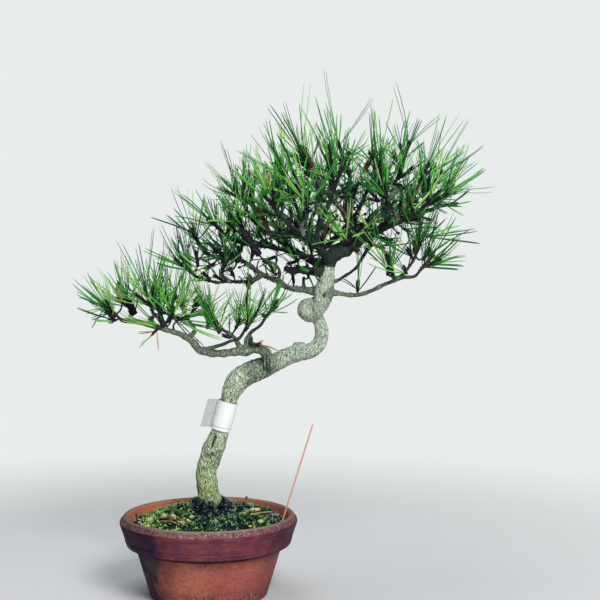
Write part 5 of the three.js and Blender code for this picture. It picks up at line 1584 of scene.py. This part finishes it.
class BONSAI_OT_label(bpy.types.Operator):
    """Wraps the bare white label round the trunk"""

    bl_idname = "bonsai.label"
    bl_label = "White Label"

    def execute(self, context):
        shell = Shell()
        add_wraps(shell)
        add_tail(shell)
        shell.piece("label_wrap", [band_finish(), tail_finish()], "label", ["label_band"], smooth=False)
        return {"FINISHED"}


def rod_shell(rod, sides, rings, roughness, seed):
    """A thin rod between its foot and its tip, as uneven as its wood."""
    foot, tip = np.array(rod.foot, float), np.array(rod.tip, float)
    shares = np.linspace(0, 1, rings)
    centres = foot + shares[:, None] * (tip - foot)
    wood = 1 + roughness * uneven(centres, 4, seed)
    shell = Shell()
    shell.add(*tube(centres, rod.radius * wood * (1 - 0.12 * shares), sides))
    return shell


class BONSAI_OT_rods(bpy.types.Operator):
    """Pushes the marker stick and the short peg into the soil"""

    bl_idname = "bonsai.rods"
    bl_label = "Stick and Peg"

    def execute(self, context):
        copper = grained_finish("marker stick", 0.45, 0.4, 0.06, 1500, 3, (0.3, srgb(206, 130, 102)),
                                (0.7, srgb(238, 180, 150)), 0.0001)
        rotten = grained_finish("dark peg", 0.9, 0.2, 0.1, 1200, 4, (0.3, srgb(28, 24, 24)),
                                (0.75, srgb(74, 58, 50)), 0.0004)
        rod_shell(STICK, 14, 50, 0.05, 30).piece("copper_stick", [copper], "stick", ["marker_stick"])
        rod_shell(PEG, 12, 16, 0.25, 31).piece("dark_peg", [rotten], "peg", ["short_peg"])
        return {"FINISHED"}


# ------------------------------------------------------------------ stage, in metres

CAMERA = Sizes(at=(0.0771, -1.0, 0.2797), lens=70.8, sensor=36, shift=-37 / 600)
FLOOR = Sizes(reach=1.5, level=-0.0002, rings=12, sides=64)
LIT_SPOT = (0.06, 0, 0.2)


class BONSAI_OT_stage(bpy.types.Operator):
    """Sets the pale floor, the soft lights and the camera"""

    bl_idname = "bonsai.stage"
    bl_label = "Stage"

    def execute(self, context):
        scene, look = context.scene, context.scene.bonsai_stage
        scene.camera = placed("camera", bpy.data.cameras.new("camera"))
        scene.camera.location = CAMERA.at
        scene.camera.rotation_euler = (math.pi / 2, 0, 0)
        view = scene.camera.data
        view.lens, view.sensor_width, view.shift_y = CAMERA.lens, CAMERA.sensor, CAMERA.shift
        floor = placed("floor", floor_mesh())
        floor.data.materials.append(floor_finish(look))
        for name, power, at, size in (
            ("key light", look.key, (0.55, -1.2, 1.05), 0.6),
            ("top light", look.key * 0.4, (-0.2, 0.1, 1.6), 1),
        ):
            light = placed(name, bpy.data.lights.new(name, "AREA"))
            light.data.energy, light.data.size, light.location = power, size, at
            light.rotation_euler = (Vector(LIT_SPOT) - Vector(at)).to_track_quat("-Z", "Y").to_euler()
        scene.world = world_light(look)
        scene.view_settings.view_transform = "Standard"
        return {"FINISHED"}


def floor_mesh():
    """A flat round floor."""
    mesh = bpy.data.meshes.new("floor")
    rings, sides = FLOOR.rings, FLOOR.sides
    radii = FLOOR.reach * np.arange(1, rings + 1) / rings
    points = rings_of(radii, np.full(rings, FLOOR.level), sides).reshape(-1, 3)
    faces = [(rings * sides, side, (side + 1) % sides) for side in range(sides)]
    faces += [face[::-1] for face in grid_faces(rings, sides)]
    mesh.from_pydata(np.vstack([points, (0, 0, FLOOR.level)]), [], faces)
    return mesh


def floor_finish(look):
    """A pale floor that fades into the backdrop."""
    floor = Finish("pale floor", roughness=0.9, specular=0.1)
    x, y = floor.axis("X"), floor.axis("Y")
    floor.feed(floor.shader.inputs["Alpha"], floor.maths("SQRT", x * x + y * y).span(0.8, 0.2))
    return floor.coat(floor.layers(look.floor, (floor.noise(6, 3), tuple(0.97 * c for c in look.floor))))


def world_light(look):
    """Even light from all sides, and a clean pale backdrop behind the object."""
    world = bpy.data.worlds.new("studio")
    world.use_nodes = True
    graph = Graph(world.node_tree)
    around = world.node_tree.nodes["Background"]
    graph.feed(around.inputs["Color"], (0.9, 0.96, 1.0))
    graph.feed(around.inputs["Strength"], look.fill)
    behind = graph.node("Background", {"Color": look.backdrop, "Strength": 1.0})
    seen = graph.node("LightPath", output="Is Camera Ray")
    mixed = graph.node("MixShader", {0: seen, 1: Signal(graph, around.outputs[0]), 2: behind})
    graph.feed(world.node_tree.nodes["World Output"].inputs["Surface"], mixed)
    return world


# ------------------------------------------------------------------ add-on

SETTINGS = {
    "bonsai_pot": PotSettings, "bonsai_wood": WoodSettings, "bonsai_needles": NeedleSettings,
    "bonsai_moss": MossSettings, "bonsai_stage": StageSettings,
}
OPERATORS = (
    BONSAI_OT_stage, BONSAI_OT_pot, BONSAI_OT_filling, BONSAI_OT_moss, BONSAI_OT_litter, BONSAI_OT_wood,
    BONSAI_OT_sprays, BONSAI_OT_small_shoots, BONSAI_OT_label, BONSAI_OT_rods,
)


class BONSAI_PT_panel(bpy.types.Panel):
    """Lists the builder's steps and settings"""

    bl_idname = "BONSAI_PT_panel"
    bl_label = "Bonsai Pine"
    bl_space_type = "VIEW_3D"
    bl_region_type = "UI"
    bl_category = "Bonsai"

    def draw(self, context):
        for operator in OPERATORS:
            self.layout.operator(operator.bl_idname)
        for name in SETTINGS:
            box = self.layout.box()
            for field in SETTINGS[name].__annotations__:
                box.prop(getattr(context.scene, name), field)


def register():
    for kind in (*SETTINGS.values(), *OPERATORS, BONSAI_PT_panel):
        bpy.utils.register_class(kind)
    for name, kind in SETTINGS.items():
        setattr(bpy.types.Scene, name, PointerProperty(type=kind))


def unregister():
    for name in SETTINGS:
        delattr(bpy.types.Scene, name)
    for kind in reversed((*SETTINGS.values(), *OPERATORS, BONSAI_PT_panel)):
        bpy.utils.unregister_class(kind)


def main():
    register()
    for operator in OPERATORS:
        getattr(bpy.ops.bonsai, operator.bl_idname.split(".")[1])()


if __name__ == "__main__":
    main()
